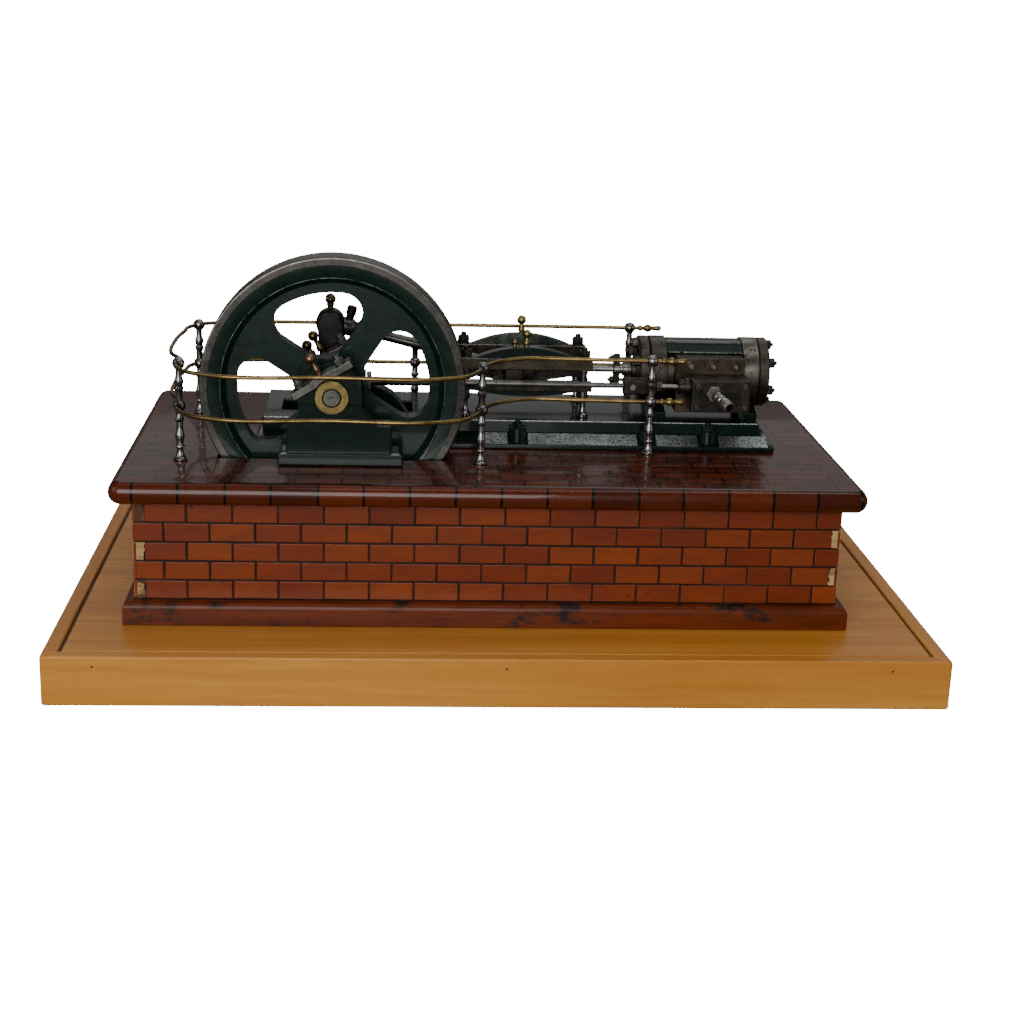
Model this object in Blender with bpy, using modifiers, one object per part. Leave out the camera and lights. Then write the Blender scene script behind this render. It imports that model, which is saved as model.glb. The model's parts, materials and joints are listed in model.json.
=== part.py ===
"""Horizontal mill engine on a brick-patterned plinth and a display base. Metres, +Z up, +X towards the
cylinder, origin at the bottom centre of the display base."""

import math

import bmesh
import bpy
from mathutils import Vector

# Driving dimensions
GAP = 0.0003  # clearance left between pieces that touch
BASE_LENGTH, BASE_WIDTH, BASE_HEIGHT = 0.600, 0.386, 0.0345
EDGING = 0.010
GROOVE_WIDTH, GROOVE_DEPTH = 0.003, 0.004
PLINTH_LEFT, PLINTH_RIGHT, PLINTH_HALF_WIDTH = -0.2475, 0.2340, 0.127
PANEL = 0.012
SLAB_TOP, SLAB_THICKNESS, SLAB_OVERHANG = 0.1362, 0.016, 0.0146
SKIRTING, SKIRTING_HEIGHT = 0.0072, 0.0165

AXIS_Z = 0.185  # height of the crankshaft and of the cylinder
ENGINE_Y = 0.017  # plane of the cylinder, piston rod and connecting rod
SHAFT_X = -0.116
SHAFT_RADIUS = 0.006
BORE_RADIUS = SHAFT_RADIUS + GAP
THROW = 0.0315
CRANK_ANGLE = math.radians(98.5)
ROD_LENGTH = 0.1374

WEB_FRONT, WEB_BACK = 0.0005, 0.0088
BIG_FRONT, BIG_BACK = 0.0095, 0.0245

WHEEL_RADIUS, WHEEL_INNER = 0.092, 0.067
WHEEL_FRONT, WHEEL_BACK = -0.0695, -0.0445
SPOKE_HALF = 0.0095
SPOKE_ANGLE = math.radians(57)
SLOT_FRONT, SLOT_BACK, SLOT_HALF = -0.0738, -0.0405, 0.080

MAIN_FRONT, MAIN_BACK = -0.0215, -0.0025
OUTBOARD_FRONT, OUTBOARD_BACK = -0.0935, -0.0745
BUSH_RADIUS = 0.0116
CAP_TILT = math.radians(31.5)
CAP_LOW, CAP_HIGH, CAP_HALF = 0.0102, 0.0157, 0.0235

VALVE_Y = -0.030
ECCENTRIC = 0.0045
ECCENTRIC_ANGLE = math.radians(203.5)
SHEAVE_RADIUS = 0.0145
FORK_X = 0.0975  # valve-rod fork, at the far end of the eccentric rod
VALVE_Z = 0.1828
VALVE_LOW, VALVE_HIGH = 0.1735, 0.1855

BED_LEFT, BED_RIGHT, BED_FRONT, BED_BACK = -0.168, 0.194, -0.0235, 0.0665
BED_TOP = 0.1543
FOOT_TOP, FOOT_OUT = 0.1445, 0.0045
APRON_FRONT, APRON_LOW, APRON_HIGH = -0.0375, 0.1395, 0.1476
FRONT_BOSS_Y = -0.0286
PIT_LEFT, PIT_RIGHT, PIT_FRONT, PIT_BACK, PIT_FLOOR = -0.1555, -0.0600, -0.0003, 0.0345, 0.1385

GUIDE_OFFSET, GUIDE_HALF = 0.026, 0.005  # slide bars on each side of the engine plane
GUIDE_LEFT, GUIDE_RIGHT = -0.0275, 0.0705
GUIDE_SLOT = 0.0045  # half the height between the bars
PILLARS_X = (-0.0218, 0.0646)

CYLINDER_LEFT, CYLINDER_RIGHT = 0.1145, 0.1945
CYLINDER_BORE, FLANGE_RADIUS, LAGGING_RADIUS = 0.016, 0.0258, 0.0247
COVER = 0.008

CHEST_LEFT, CHEST_RIGHT = 0.1390, 0.1815
CHEST_LOW, CHEST_HIGH = 0.1670, 0.1900
PORT_FACE, COVER_BACK, COVER_FRONT = -0.0130, -0.0400, -0.0440
PORT_X = 0.158

RAIL_RADIUS = 0.0015
UPPER_RAIL_Z, LOWER_RAIL_Z = 0.204, 0.1745
POSTS = {
    "front_left": (-0.2203, -0.0790, 80),
    "front_middle": (-0.0130, -0.0785, 75),
    "front_right": (0.1095, -0.0440, 0),
    "back_left": (-0.2210, 0.0620, 50),
    "back_middle": (-0.0575, 0.0790, 2),
    "back_right": (0.1090, 0.0825, 0),
}  # place of each rail post, and the direction of its eyes in degrees from +X

SHAFT = Vector((SHAFT_X, 0, AXIS_Z))
PIN = SHAFT + THROW * Vector((math.cos(CRANK_ANGLE), 0, math.sin(CRANK_ANGLE)))
CROSSHEAD_X = PIN.x + math.sqrt(ROD_LENGTH**2 - (PIN.z - AXIS_Z) ** 2)
SHEAVE = SHAFT + ECCENTRIC * Vector((math.cos(ECCENTRIC_ANGLE), 0, math.sin(ECCENTRIC_ANGLE)))
VALVE_X = PORT_X + SHEAVE.x - SHAFT_X
CROSSHEAD_LOW = SHAFT_X + ROD_LENGTH - THROW
PISTON_HALF = 0.005
PISTON_X = CYLINDER_LEFT + 0.002 + 0.0015 + PISTON_HALF + (CROSSHEAD_X - CROSSHEAD_LOW)

MATERIALS = {
    "pine": ((0.62, 0.34, 0.11), 0.35, 0.0),
    "brick_varnish": ((0.22, 0.045, 0.015), 0.25, 0.0),
    "green_enamel": ((0.006, 0.045, 0.03), 0.25, 0.0),
    "steel": ((0.45, 0.43, 0.40), 0.25, 1.0),
    "iron": ((0.16, 0.15, 0.135), 0.4, 1.0),
    "brass": ((0.62, 0.40, 0.13), 0.25, 1.0),
}


def collection(name):
    made = bpy.data.collections.new(name)
    bpy.context.scene.collection.children.link(made)
    return made


def clear_scene():
    for obj in list(bpy.data.objects):
        bpy.data.objects.remove(obj, do_unlink=True)


def material(name):
    made = bpy.data.materials.get(name)
    if made is None:
        colour, roughness, metallic = MATERIALS[name]
        made = bpy.data.materials.new(name)
        made.use_nodes = True
        shader = made.node_tree.nodes["Principled BSDF"]
        shader.inputs["Base Color"].default_value = (*colour, 1)
        shader.inputs["Roughness"].default_value = roughness
        shader.inputs["Metallic"].default_value = metallic
        made.diffuse_color = (*colour, 1)
    return made


def add(name, mesh, finish, location=(0, 0, 0)):
    obj = bpy.data.objects.new(name, mesh)
    obj.location = location
    PARTS.objects.link(obj)
    mesh.materials.clear()
    mesh.materials.append(material(finish))
    return obj


def smooth(mesh):
    mesh.shade_smooth()
    mesh.set_sharp_from_angle(angle=math.radians(35))


def box(name, low, high, finish):
    """A block between two opposite corners."""
    low, high = Vector(low), Vector(high)
    bm = bmesh.new()
    bmesh.ops.create_cube(bm, size=1)
    bmesh.ops.scale(bm, vec=high - low, verts=bm.verts)
    mesh = bpy.data.meshes.new(name)
    bm.to_mesh(mesh)
    bm.free()
    return add(name, mesh, finish, (low + high) / 2)


def cylinder(name, start, end, radius, finish, sides=20, end_radius=None):
    """A round bar from one point to another, straight or tapered."""
    start, end = Vector(start), Vector(end)
    bm = bmesh.new()
    bmesh.ops.create_cone(
        bm,
        cap_ends=True,
        segments=sides,
        radius1=radius,
        radius2=radius if end_radius is None else end_radius,
        depth=(end - start).length,
    )
    mesh = bpy.data.meshes.new(name)
    bm.to_mesh(mesh)
    bm.free()
    smooth(mesh)
    obj = add(name, mesh, finish, (start + end) / 2)
    obj.rotation_euler = (end - start).to_track_quat("Z", "Y").to_euler()
    return obj


def turned(name, profile, foot, axis, finish, steps=16):
    """A turned piece: (height, radius) points from its foot up, swept round the axis."""
    points = [(0, profile[0][0]), *((radius, height) for height, radius in profile), (0, profile[-1][0])]
    mesh = bpy.data.meshes.new(name)
    outline = [(radius, 0, height) for radius, height in reversed(points)]
    mesh.from_pydata(outline, [(i, i + 1) for i in range(len(outline) - 1)], [])
    obj = add(name, mesh, finish, foot)
    obj.rotation_euler = Vector(axis).to_track_quat("Z", "Y").to_euler()
    screw = obj.modifiers.new("Turn", "SCREW")
    screw.steps = screw.render_steps = steps
    screw.use_merge_vertices = True
    screw.merge_threshold = 0.00002
    screw.use_smooth_shade = True
    return obj


def made_mesh(curve, finish):
    """Replaces a curve object by a closed mesh."""
    bpy.context.view_layer.update()
    graph = bpy.context.evaluated_depsgraph_get()
    mesh = bpy.data.meshes.new_from_object(curve.evaluated_get(graph))
    bm = bmesh.new()
    bm.from_mesh(mesh)
    bmesh.ops.remove_doubles(bm, verts=bm.verts, dist=0.00001)
    bmesh.ops.recalc_face_normals(bm, faces=bm.faces)
    bm.to_mesh(mesh)
    bm.free()
    name, matrix = curve.name, curve.matrix_world.copy()
    bpy.data.objects.remove(curve)
    obj = add(name, mesh, finish)
    obj.name = name
    obj.matrix_world = matrix
    return obj


def plate(name, outline, front, back, finish, centre=(0, 0)):
    """An outline of (x, z) points about a centre, given its thickness from front to back along Y."""
    curve = bpy.data.curves.new(name, "CURVE")
    curve.dimensions = "2D"
    curve.fill_mode = "BOTH"
    curve.extrude = (back - front) / 2
    spline = curve.splines.new("POLY")
    spline.points.add(len(outline) - 1)
    for point, (x, z) in zip(spline.points, outline):
        point.co = (x, z, 0, 1)
    spline.use_cyclic_u = True
    obj = bpy.data.objects.new(name, curve)
    PARTS.objects.link(obj)
    obj.location = (centre[0], (front + back) / 2, centre[1])
    obj.rotation_euler = (math.pi / 2, 0, 0)
    return made_mesh(obj, finish)


def wedge(name, left, right, finish, outline):
    """An outline of (y, z) points given its length along X."""
    mesh = bpy.data.meshes.new(name)
    count = len(outline)
    points = [(x, y, z) for x in (left, right) for y, z in outline]
    sides = [(i, (i + 1) % count, count + (i + 1) % count, count + i) for i in range(count)]
    mesh.from_pydata(points, [], [tuple(range(count))[::-1], tuple(range(count, 2 * count)), *sides])
    return add(name, mesh, finish)


def tube(name, points, radius, finish):
    curve = bpy.data.curves.new(name, "CURVE")
    curve.dimensions = "3D"
    curve.bevel_depth = radius
    curve.bevel_resolution = 2
    curve.use_fill_caps = True
    spline = curve.splines.new("POLY")
    spline.points.add(len(points) - 1)
    for point, place in zip(spline.points, points):
        point.co = (*place, 1)
    obj = bpy.data.objects.new(name, curve)
    PARTS.objects.link(obj)
    return made_mesh(obj, finish)


def shape(target, operation, *tools):
    """Joins other pieces to a piece, or cuts them out of it."""
    for tool in tools:
        for holder in tool.users_collection:
            holder.objects.unlink(tool)
        TOOLS.objects.link(tool)
        tool.hide_render = True
        tool.display_type = "WIRE"
        step = target.modifiers.new(tool.name, "BOOLEAN")
        step.operation = operation
        step.solver = "EXACT"
        step.object = tool
    return target


def join(target, *tools):
    return shape(target, "UNION", *tools)


def cut(target, *tools):
    return shape(target, "DIFFERENCE", *tools)


def arc(centre, radius, start, end, steps):
    """Points of a round stretch, angles in radians."""
    turn = [start + (end - start) * i / steps for i in range(steps + 1)]
    return [(centre[0] + radius * math.cos(a), centre[1] + radius * math.sin(a)) for a in turn]


def along_y(name, x, z, front, back, radius, finish="iron", sides=24):
    return cylinder(name, (x, front, z), (x, back, z), radius, finish, sides)


def along_x(name, left, right, radius, finish="iron", y=ENGINE_Y, z=AXIS_Z, sides=24):
    return cylinder(name, (left, y, z), (right, y, z), radius, finish, sides)


def display_base():
    half_length, half_width = BASE_LENGTH / 2, BASE_WIDTH / 2
    edging = box("base_edging", (-half_length, -half_width, 0), (half_length, half_width, BASE_HEIGHT),
                 "pine")
    inner = Vector((half_length - EDGING, half_width - EDGING, 1))
    cut(edging, box("edging_hole", -inner, inner, "pine"))
    outer = inner - Vector((GAP, GAP, 0))
    panel = box("base_panel", (-outer.x, -outer.y, 0), (outer.x, outer.y, BASE_HEIGHT - GROOVE_DEPTH),
                "pine")
    raised = outer - Vector((GROOVE_WIDTH, GROOVE_WIDTH, 0))
    low = BASE_HEIGHT - 2 * GROOVE_DEPTH
    join(panel, box("raised_field", (-raised.x, -raised.y, low), (raised.x, raised.y, BASE_HEIGHT), "pine"))


def plinth():
    low, high = BASE_HEIGHT + GAP, SLAB_TOP - SLAB_THICKNESS - GAP
    left, right, half = PLINTH_LEFT, PLINTH_RIGHT, PLINTH_HALF_WIDTH
    finish = "brick_varnish"
    box("plinth_front_panel", (left, -half, low), (right, PANEL - half, high), finish)
    box("plinth_back_panel", (left, half - PANEL, low), (right, half, high), finish)
    inner = half - PANEL - GAP
    box("plinth_left_panel", (left, -inner, low), (left + PANEL, inner, high), finish)
    box("plinth_right_panel", (right - PANEL, -inner, low), (right, inner, high), finish)
    out = SKIRTING + GAP
    outer = box("plinth_skirting", (left - out, -half - out, low),
                (right + out, half + out, low + SKIRTING_HEIGHT),
                finish)
    hole = box("skirting_hole", (left - GAP, -half - GAP, 0), (right + GAP, half + GAP, 1), finish)
    cut(outer, hole)
    over = SLAB_OVERHANG
    slab = box("plinth_top", (left - over, -half - over, SLAB_TOP - SLAB_THICKNESS),
               (right + over, half + over, SLAB_TOP), finish)
    nosing = slab.modifiers.new("Nosing", "BEVEL")
    nosing.width = SLAB_THICKNESS * 0.4
    nosing.segments = 3
    slot = box("wheel_slot", (SHAFT_X - SLOT_HALF, SLOT_FRONT, 0), (SHAFT_X + SLOT_HALF, SLOT_BACK, 1),
               finish)
    cut(slab, slot)


def post_profile():
    """(height, radius) of a turned post with a ball at each rail."""
    lower, upper, ball = LOWER_RAIL_Z - SLAB_TOP - GAP, UPPER_RAIL_Z - SLAB_TOP - GAP, 0.0044
    profile = [(0, 0.0048), (0.001, 0.0048), (0.003, 0.0030), (0.007, 0.0022), (0.0095, 0.0032),
               (0.0115, 0.0023), (0.017, 0.0034), (0.0185, 0.0030), (0.0270, 0.0022), (0.0285, 0.0032),
               (0.030, 0.0024)]
    for centre, first in ((lower, -55), (upper, -60)):
        last = 55 if centre == lower else 80
        for degrees in range(first, last + 1, 35):
            turn = math.radians(degrees)
            profile.append((centre + ball * math.sin(turn), ball * math.cos(turn)))
        if centre == lower:
            profile += [(0.0480, 0.0025), (0.0505, 0.0032), (0.0520, 0.0025), (0.0550, 0.0033),
                        (0.0590, 0.0022)]
    return profile


def rail_points(z):
    """Points of a rail from the front right, round the flywheel and the left end, to the back right."""
    stops = []
    for name in ("front_right", "front_middle", "front_left", "back_left", "back_middle", "back_right"):
        x, y, degrees = POSTS[name]
        turn = math.radians(degrees)
        step = 0.006 * Vector((math.cos(turn), math.sin(turn), 0))
        ahead = -1 if name.startswith("front") and name != "front_left" else 1
        place = Vector((x, y, z))
        around = [place - ahead * step, place, place + ahead * step]
        stops.append(around)
    front_right, front_middle, front_left, back_left, back_middle, back_right = stops
    bow_y = -0.1160
    between = [Vector((x, y, z)) for x, y in ((0.060, -0.0425), (0.015, -0.0440))]
    bow = [Vector((x, y, z)) for x, y in ((-0.0270, -0.1090), (-0.0420, bow_y), (-0.116, bow_y - 0.0015),
                                          (-0.196, bow_y), (-0.2120, -0.1060))]
    left = [Vector((x, y, z)) for x, y in ((-0.2290, -0.045), (-0.2315, -0.008), (-0.2290, 0.033))]
    back = [Vector((-0.200, 0.0725, z))]
    ends = Vector((0.0075, 0, 0))
    stops = [front_right[1] + ends, *front_right, *between, *front_middle, *bow, *front_left, *left,
             *back_left, *back, *back_middle, *back_right, back_right[1] + ends]
    return through(stops, 0.012)


def through(stops, pitch):
    """A smooth line through the stops, with a point about every pitch."""
    spans = [(there - here).length for here, there in zip(stops, stops[1:])]
    slopes = [(stops[1] - stops[0]) / spans[0]]
    for i in range(1, len(stops) - 1):
        before, after = spans[i - 1], spans[i]
        rise = (stops[i + 1] - stops[i]) / after * before + (stops[i] - stops[i - 1]) / before * after
        slopes.append(rise / (before + after))
    slopes.append((stops[-1] - stops[-2]) / spans[-1])
    line = []
    for i, span in enumerate(spans):
        steps = max(1, min(6, round(span / pitch)))
        for k in range(steps):
            t = k / steps
            line.append(stops[i] * (2 * t**3 - 3 * t**2 + 1) + stops[i + 1] * (3 * t**2 - 2 * t**3)
                        + span * (slopes[i] * (t**3 - 2 * t**2 + t) + slopes[i + 1] * (t**3 - t**2)))
    return [*line, stops[-1]]


FINIAL = [(0, 0.0008), (0.0012, 0.0008), (0.0022, 0.0024), (0.0045, 0.0015), (0.007, 0.0030),
          (0.0095, 0.0030),
          (0.0110, 0.0016), (0.0150, 0.0019), (0.0170, 0.0022), (0.0185, 0.0010)]


def railing():
    heights = {"upper_rail": UPPER_RAIL_Z, "lower_rail": LOWER_RAIL_Z}
    for name, z in heights.items():
        points = rail_points(z)
        rail = tube(name, points, RAIL_RADIUS, "brass")
        for which, end in (("front", points[0]), ("back", points[-1])):
            foot = end - Vector((0.0015, 0, 0))
            join(rail, turned(f"{name}_{which}_finial", FINIAL, foot, (1, 0, 0), "brass", 10))
    for name, (x, y, degrees) in POSTS.items():
        post = turned(f"post_{name}", post_profile(), (x, y, SLAB_TOP + GAP), (0, 0, 1), "steel", 8)
        turn = math.radians(degrees)
        reach = 0.008 * Vector((math.cos(turn), math.sin(turn), 0))
        for level, z in heights.items():
            eye = Vector((x, y, z))
            cut(post, cylinder(f"{level}_eye_{name}", eye - reach, eye + reach, RAIL_RADIUS + 0.0005,
                               "steel", 8))


def bedplate():
    low = SLAB_TOP + GAP
    bed = box("bedplate", (BED_LEFT, BED_FRONT, low + 0.001), (BED_RIGHT, BED_BACK, BED_TOP),
              "green_enamel")
    edge = bed.modifiers.new("Edge", "BEVEL")
    edge.width = 0.001
    edge.segments = 1
    foot = box("bed_foot", (BED_LEFT - FOOT_OUT, BED_FRONT + 0.0015, low),
               (BED_RIGHT + 2 * FOOT_OUT, BED_BACK + FOOT_OUT, FOOT_TOP), "green_enamel")
    slope = foot.modifiers.new("Slope", "BEVEL")
    slope.width = 0.0015
    slope.segments = 1
    join(bed, foot)
    inside = BED_FRONT + 0.004
    apron = wedge("bed_apron", BED_LEFT - FOOT_OUT + 0.0003, BED_RIGHT + 2 * FOOT_OUT - 0.0003, "green_enamel",
                  [(APRON_FRONT, low), (inside, low), (inside, APRON_HIGH), (APRON_FRONT, APRON_LOW)])
    join(bed, apron)
    for i, x in enumerate((-0.120, 0.016, 0.110, 0.155)):
        for side, y in enumerate((FRONT_BOSS_Y, BED_BACK + 0.0010)):
            join(bed, cylinder(f"bolt_boss_{i}_{side}", (x, y, low + 0.0004), (x, y, BED_TOP - 0.004),
                               0.006,
                               "green_enamel", 12))
    join(bed, bearing_seat("main_seat", MAIN_FRONT, MAIN_BACK, BED_TOP - 0.003, 0.026, "green_enamel"))
    flank = [(0.0180, -0.0325), (0.0530, -0.0325), (0.0530, -0.0300), (0.0415, -0.0140), (0.0235, -0.0052),
             (0.0180, -0.0052)]
    join(bed, plate("main_seat_flank", flank, MAIN_FRONT + 0.001, MAIN_BACK - 0.001, "green_enamel",
                    (SHAFT_X, AXIS_Z)))
    pit = box("crank_pit", (PIT_LEFT, PIT_FRONT, PIT_FLOOR), (PIT_RIGHT, PIT_BACK, 1), "iron")
    bore = along_y("main_bore", SHAFT_X, AXIS_Z, MAIN_FRONT - 0.01, MAIN_BACK + 0.01, BUSH_RADIUS + GAP)
    cut(bed, pit, bore)
    saddle = box("cylinder_saddle", (CYLINDER_LEFT + 0.001, ENGINE_Y - 0.016, BED_TOP - 0.004),
                 (CYLINDER_LEFT + 0.010, ENGINE_Y + 0.016, AXIS_Z - FLANGE_RADIUS + 0.006), "green_enamel")
    clearance = along_x("saddle_seat", 0.100, 0.22, FLANGE_RADIUS + GAP, "iron", sides=48)
    join(bed, cut(saddle, clearance))


def tilted(along, up):
    """A point (x, z) about the shaft in the tilted frame of a bearing cap."""
    c, s = math.cos(CAP_TILT), math.sin(CAP_TILT)
    return (along * c - up * s, along * s + up * c)


def bearing_seat(name, front, back, foot_z, foot_half, finish):
    """The fixed half of a bearing: a block that rises to a tilted face under the cap."""
    foot = foot_z - AXIS_Z
    outline = [(-foot_half, foot), (foot_half, foot), (0.0205, foot + 0.012)]
    outline += arc((0, 0), 0.0205, math.radians(-10), math.radians(48), 4)
    outline += [tilted(0.0185, CAP_LOW - GAP), tilted(-0.0205, CAP_LOW - GAP), (-0.0225, foot + 0.010)]
    return plate(name, outline, front, back, finish, (SHAFT_X, AXIS_Z))


def bearing_cap(name, front, back):
    outline = [tilted(*p) for p in ((-CAP_HALF, CAP_LOW), (CAP_HALF, CAP_LOW), (CAP_HALF, CAP_HIGH),
                                    (-CAP_HALF, CAP_HIGH))]
    cap = plate(name, outline, front + 0.002, back - 0.002, "steel", (SHAFT_X, AXIS_Z))
    cut(cap, along_y(f"{name}_bore", SHAFT_X, AXIS_Z, front, back, BUSH_RADIUS + GAP))
    return cap


def oil_cup(name, foot, axis, height, ball, finish="brass"):
    """A ball-topped oil cup on a waisted stem."""
    stem = [(0, 0.38 * ball), (0.22 * height, 0.38 * ball), (0.30 * height, 0.62 * ball),
            (0.40 * height, 0.62 * ball), (0.55 * height, 0.34 * ball)]
    top = [(height - ball + ball * math.sin(math.radians(a)), ball * math.cos(math.radians(a)))
           for a in (-60, -30, 0, 30, 60, 84)]
    return turned(name, stem + top, foot, axis, finish, 10)


def outboard_bearing():
    front, back = OUTBOARD_FRONT, OUTBOARD_BACK
    pedestal = bearing_seat("outboard_pedestal", front, back, 0.1625, 0.034, "green_enamel")
    low = SLAB_TOP + GAP
    join(pedestal, box("pedestal_block", (-0.1470, front + 0.0006, low + 0.008),
                       (-0.0750, back - 0.0001, 0.1660),
                       "green_enamel"))
    join(pedestal, box("pedestal_foot", (-0.1530, front + 0.0012, low), (-0.0670, back, 0.1470),
                       "green_enamel"))
    cut(pedestal, along_y("outboard_bore", SHAFT_X, AXIS_Z, front - 0.01, back + 0.01, BUSH_RADIUS + GAP))
    bearing_cap("outboard_bearing_cap", front, back)
    bearing_cap("main_bearing_cap", MAIN_FRONT, MAIN_BACK)
    for name, low_y, high_y in (("outboard_bush", front - 0.002, back),
                                ("main_bush", MAIN_FRONT, MAIN_BACK)):
        bush = along_y(name, SHAFT_X, AXIS_Z, low_y, high_y, BUSH_RADIUS, "brass", 28)
        cut(bush, along_y(f"{name}_bore", SHAFT_X, AXIS_Z, low_y - 0.01, high_y + 0.01, BORE_RADIUS,
                          "brass"))
    for name, y in (("outboard_oil_cup", (front + back) / 2),
                    ("main_oil_cup", (MAIN_FRONT + MAIN_BACK) / 2)):
        x, z = tilted(0, CAP_HIGH + GAP)
        up = Vector((*tilted(0, 1), 0)).xzy
        height = 0.0155 if name == "outboard_oil_cup" else 0.019
        oil_cup(name, (SHAFT_X + x, y, AXIS_Z + z), up, height, 0.0033)


def opening(inner_fillet=0.020, outer_fillet=0.014):
    """Outline of one opening of the flywheel, between two spokes a quarter turn apart."""
    near, far = SPOKE_HALF + inner_fillet, SPOKE_HALF + outer_fillet
    along = math.sqrt((WHEEL_INNER - outer_fillet) ** 2 - far**2)
    lean = math.atan2(far, along)
    right = math.pi / 2
    outline = arc((along, far), outer_fillet, -right, lean, 4)
    outline += arc((0, 0), WHEEL_INNER, lean, right - lean, 6)[1:]
    outline += arc((far, along), outer_fillet, right - lean, math.pi, 4)[1:]
    outline += arc((near, near), inner_fillet, math.pi, 1.5 * math.pi, 4)
    return outline


def spun(outline, angle):
    c, s = math.cos(angle), math.sin(angle)
    return [(x * c - y * s, x * s + y * c) for x, y in outline]


def flywheel():
    wheel = along_y("flywheel", SHAFT_X, AXIS_Z, WHEEL_FRONT, WHEEL_BACK, WHEEL_RADIUS, "green_enamel", 64)
    recess = 0.0055
    for name, face, away in (("front", WHEEL_FRONT, -1), ("back", WHEEL_BACK, 1)):
        ends = sorted((face - away * recess, face + away * 0.01))
        hollow = along_y(f"wheel_recess_{name}", SHAFT_X, AXIS_Z, *ends, 0.0765, "green_enamel", 48)
        cut(hollow, along_y(f"wheel_boss_{name}", SHAFT_X, AXIS_Z, ends[0] - 0.01, ends[1] + 0.01, 0.020,
                            "green_enamel", 24))
        cut(wheel, hollow)
    for i in range(4):
        outline = spun(opening(), SPOKE_ANGLE + i * math.pi / 2)
        cut(wheel, plate(f"wheel_opening_{i}", outline, WHEEL_FRONT - 0.01, WHEEL_BACK + 0.01,
                         "green_enamel",
                         (SHAFT_X, AXIS_Z)))
    cut(wheel, along_y("wheel_bore", SHAFT_X, AXIS_Z, WHEEL_FRONT - 0.02, WHEEL_BACK + 0.02, BORE_RADIUS,
                       "steel"))


def crank():
    along_y("crankshaft", SHAFT_X, AXIS_Z, OUTBOARD_FRONT - 0.0028, WEB_BACK, SHAFT_RADIUS, "steel", 24)
    start = CRANK_ANGLE + math.pi / 2
    outline = arc((PIN.x - SHAFT_X, PIN.z - AXIS_Z), 0.0090, start - math.pi, start, 10)
    outline += arc((0, 0), 0.0110, start, start + math.pi, 12)
    web = plate("crank_web", outline, WEB_FRONT, WEB_BACK, "iron", (SHAFT_X, AXIS_Z))
    cut(web, along_y("web_bore", SHAFT_X, AXIS_Z, WEB_FRONT - 0.01, WEB_BACK + 0.01, BORE_RADIUS, "iron"))
    sheave = along_y("eccentric_sheave", SHEAVE.x, SHEAVE.z, VALVE_Y - 0.0045, VALVE_Y + 0.0045,
                     SHEAVE_RADIUS,
                     "steel", 28)
    cut(sheave, along_y("sheave_bore", SHAFT_X, AXIS_Z, VALVE_Y - 0.01, VALVE_Y + 0.01, BORE_RADIUS,
                        "steel"))


def valve_gear():
    x, z = SHEAVE.x, SHEAVE.z
    strap = along_y("eccentric_strap", x, z, VALVE_Y - 0.004, VALVE_Y + 0.004, SHEAVE_RADIUS + 0.0050,
                    "iron", 28)
    lug_left = x + SHEAVE_RADIUS + 0.002
    join(strap, box("strap_lug", (lug_left, VALVE_Y - 0.0035, z - 0.0080),
                    (lug_left + 0.0100, VALVE_Y + 0.0035,
                                                                      z + 0.0080), "iron"))
    up = Vector((math.cos(math.radians(122)), 0, math.sin(math.radians(122))))
    middle = Vector((x, VALVE_Y, z))
    join(strap, oil_cup("strap_oil_cup", middle + up * (SHEAVE_RADIUS + 0.0040), up, 0.0160, 0.0032,
                        "brass"))
    cut(strap, along_y("strap_bore", x, z, VALVE_Y - 0.01, VALVE_Y + 0.01, SHEAVE_RADIUS + GAP, "iron", 28))
    rod_left = lug_left + 0.0100 + GAP
    rod = cylinder("eccentric_rod", (rod_left, VALVE_Y, z), (FORK_X - 0.001, VALVE_Y, VALVE_Z), 0.0024,
                   "steel", 12,
                   0.0019)
    join(rod, box("rod_palm", (rod_left, VALVE_Y - 0.0030, z - 0.0065),
                  (rod_left + 0.0035, VALVE_Y + 0.0030,
                                                                     z + 0.0065), "steel"))
    z = VALVE_Z
    join(rod, along_y("rod_eye", FORK_X, z, VALVE_Y - 0.0020, VALVE_Y + 0.0020, 0.0035, "steel", 12))
    fork_left, fork_right = FORK_X - 0.0065, FORK_X + 0.0175
    fork = box("valve_rod", (fork_left, VALVE_Y - 0.0058, z - 0.0055),
               (fork_right, VALVE_Y + 0.0058, z + 0.0055),
               "iron")
    cut(fork, box("fork_slot", (fork_left - 0.01, VALVE_Y - 0.0026, z - 0.02),
                  (FORK_X + 0.0135, VALVE_Y + 0.0026,
                                                                          z + 0.02), "iron"))
    join(fork, along_x("valve_spindle", fork_right - 0.002, VALVE_X + 0.0125, 0.0016, "steel", VALVE_Y, z,
                       12))
    join(fork, along_x("spindle_nut", fork_right - 0.001, fork_right + 0.0045, 0.0035, "steel", VALVE_Y, z,
                       6))
    valve = box("slide_valve", (VALVE_X - 0.0100, VALVE_Y - 0.0040, VALVE_LOW),
                (VALVE_X + 0.0100, PORT_FACE - GAP, VALVE_HIGH), "brass")
    cut(valve, box("valve_cavity", (VALVE_X - 0.0050, PORT_FACE - 0.007, VALVE_LOW + 0.0020),
                   (VALVE_X + 0.0050, PORT_FACE + 0.01, VALVE_HIGH - 0.0025), "brass"))
    cut(valve, along_x("valve_bore", VALVE_X - 0.02, VALVE_X + 0.02, 0.0016 + GAP, "brass", VALVE_Y, z, 12))


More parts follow.
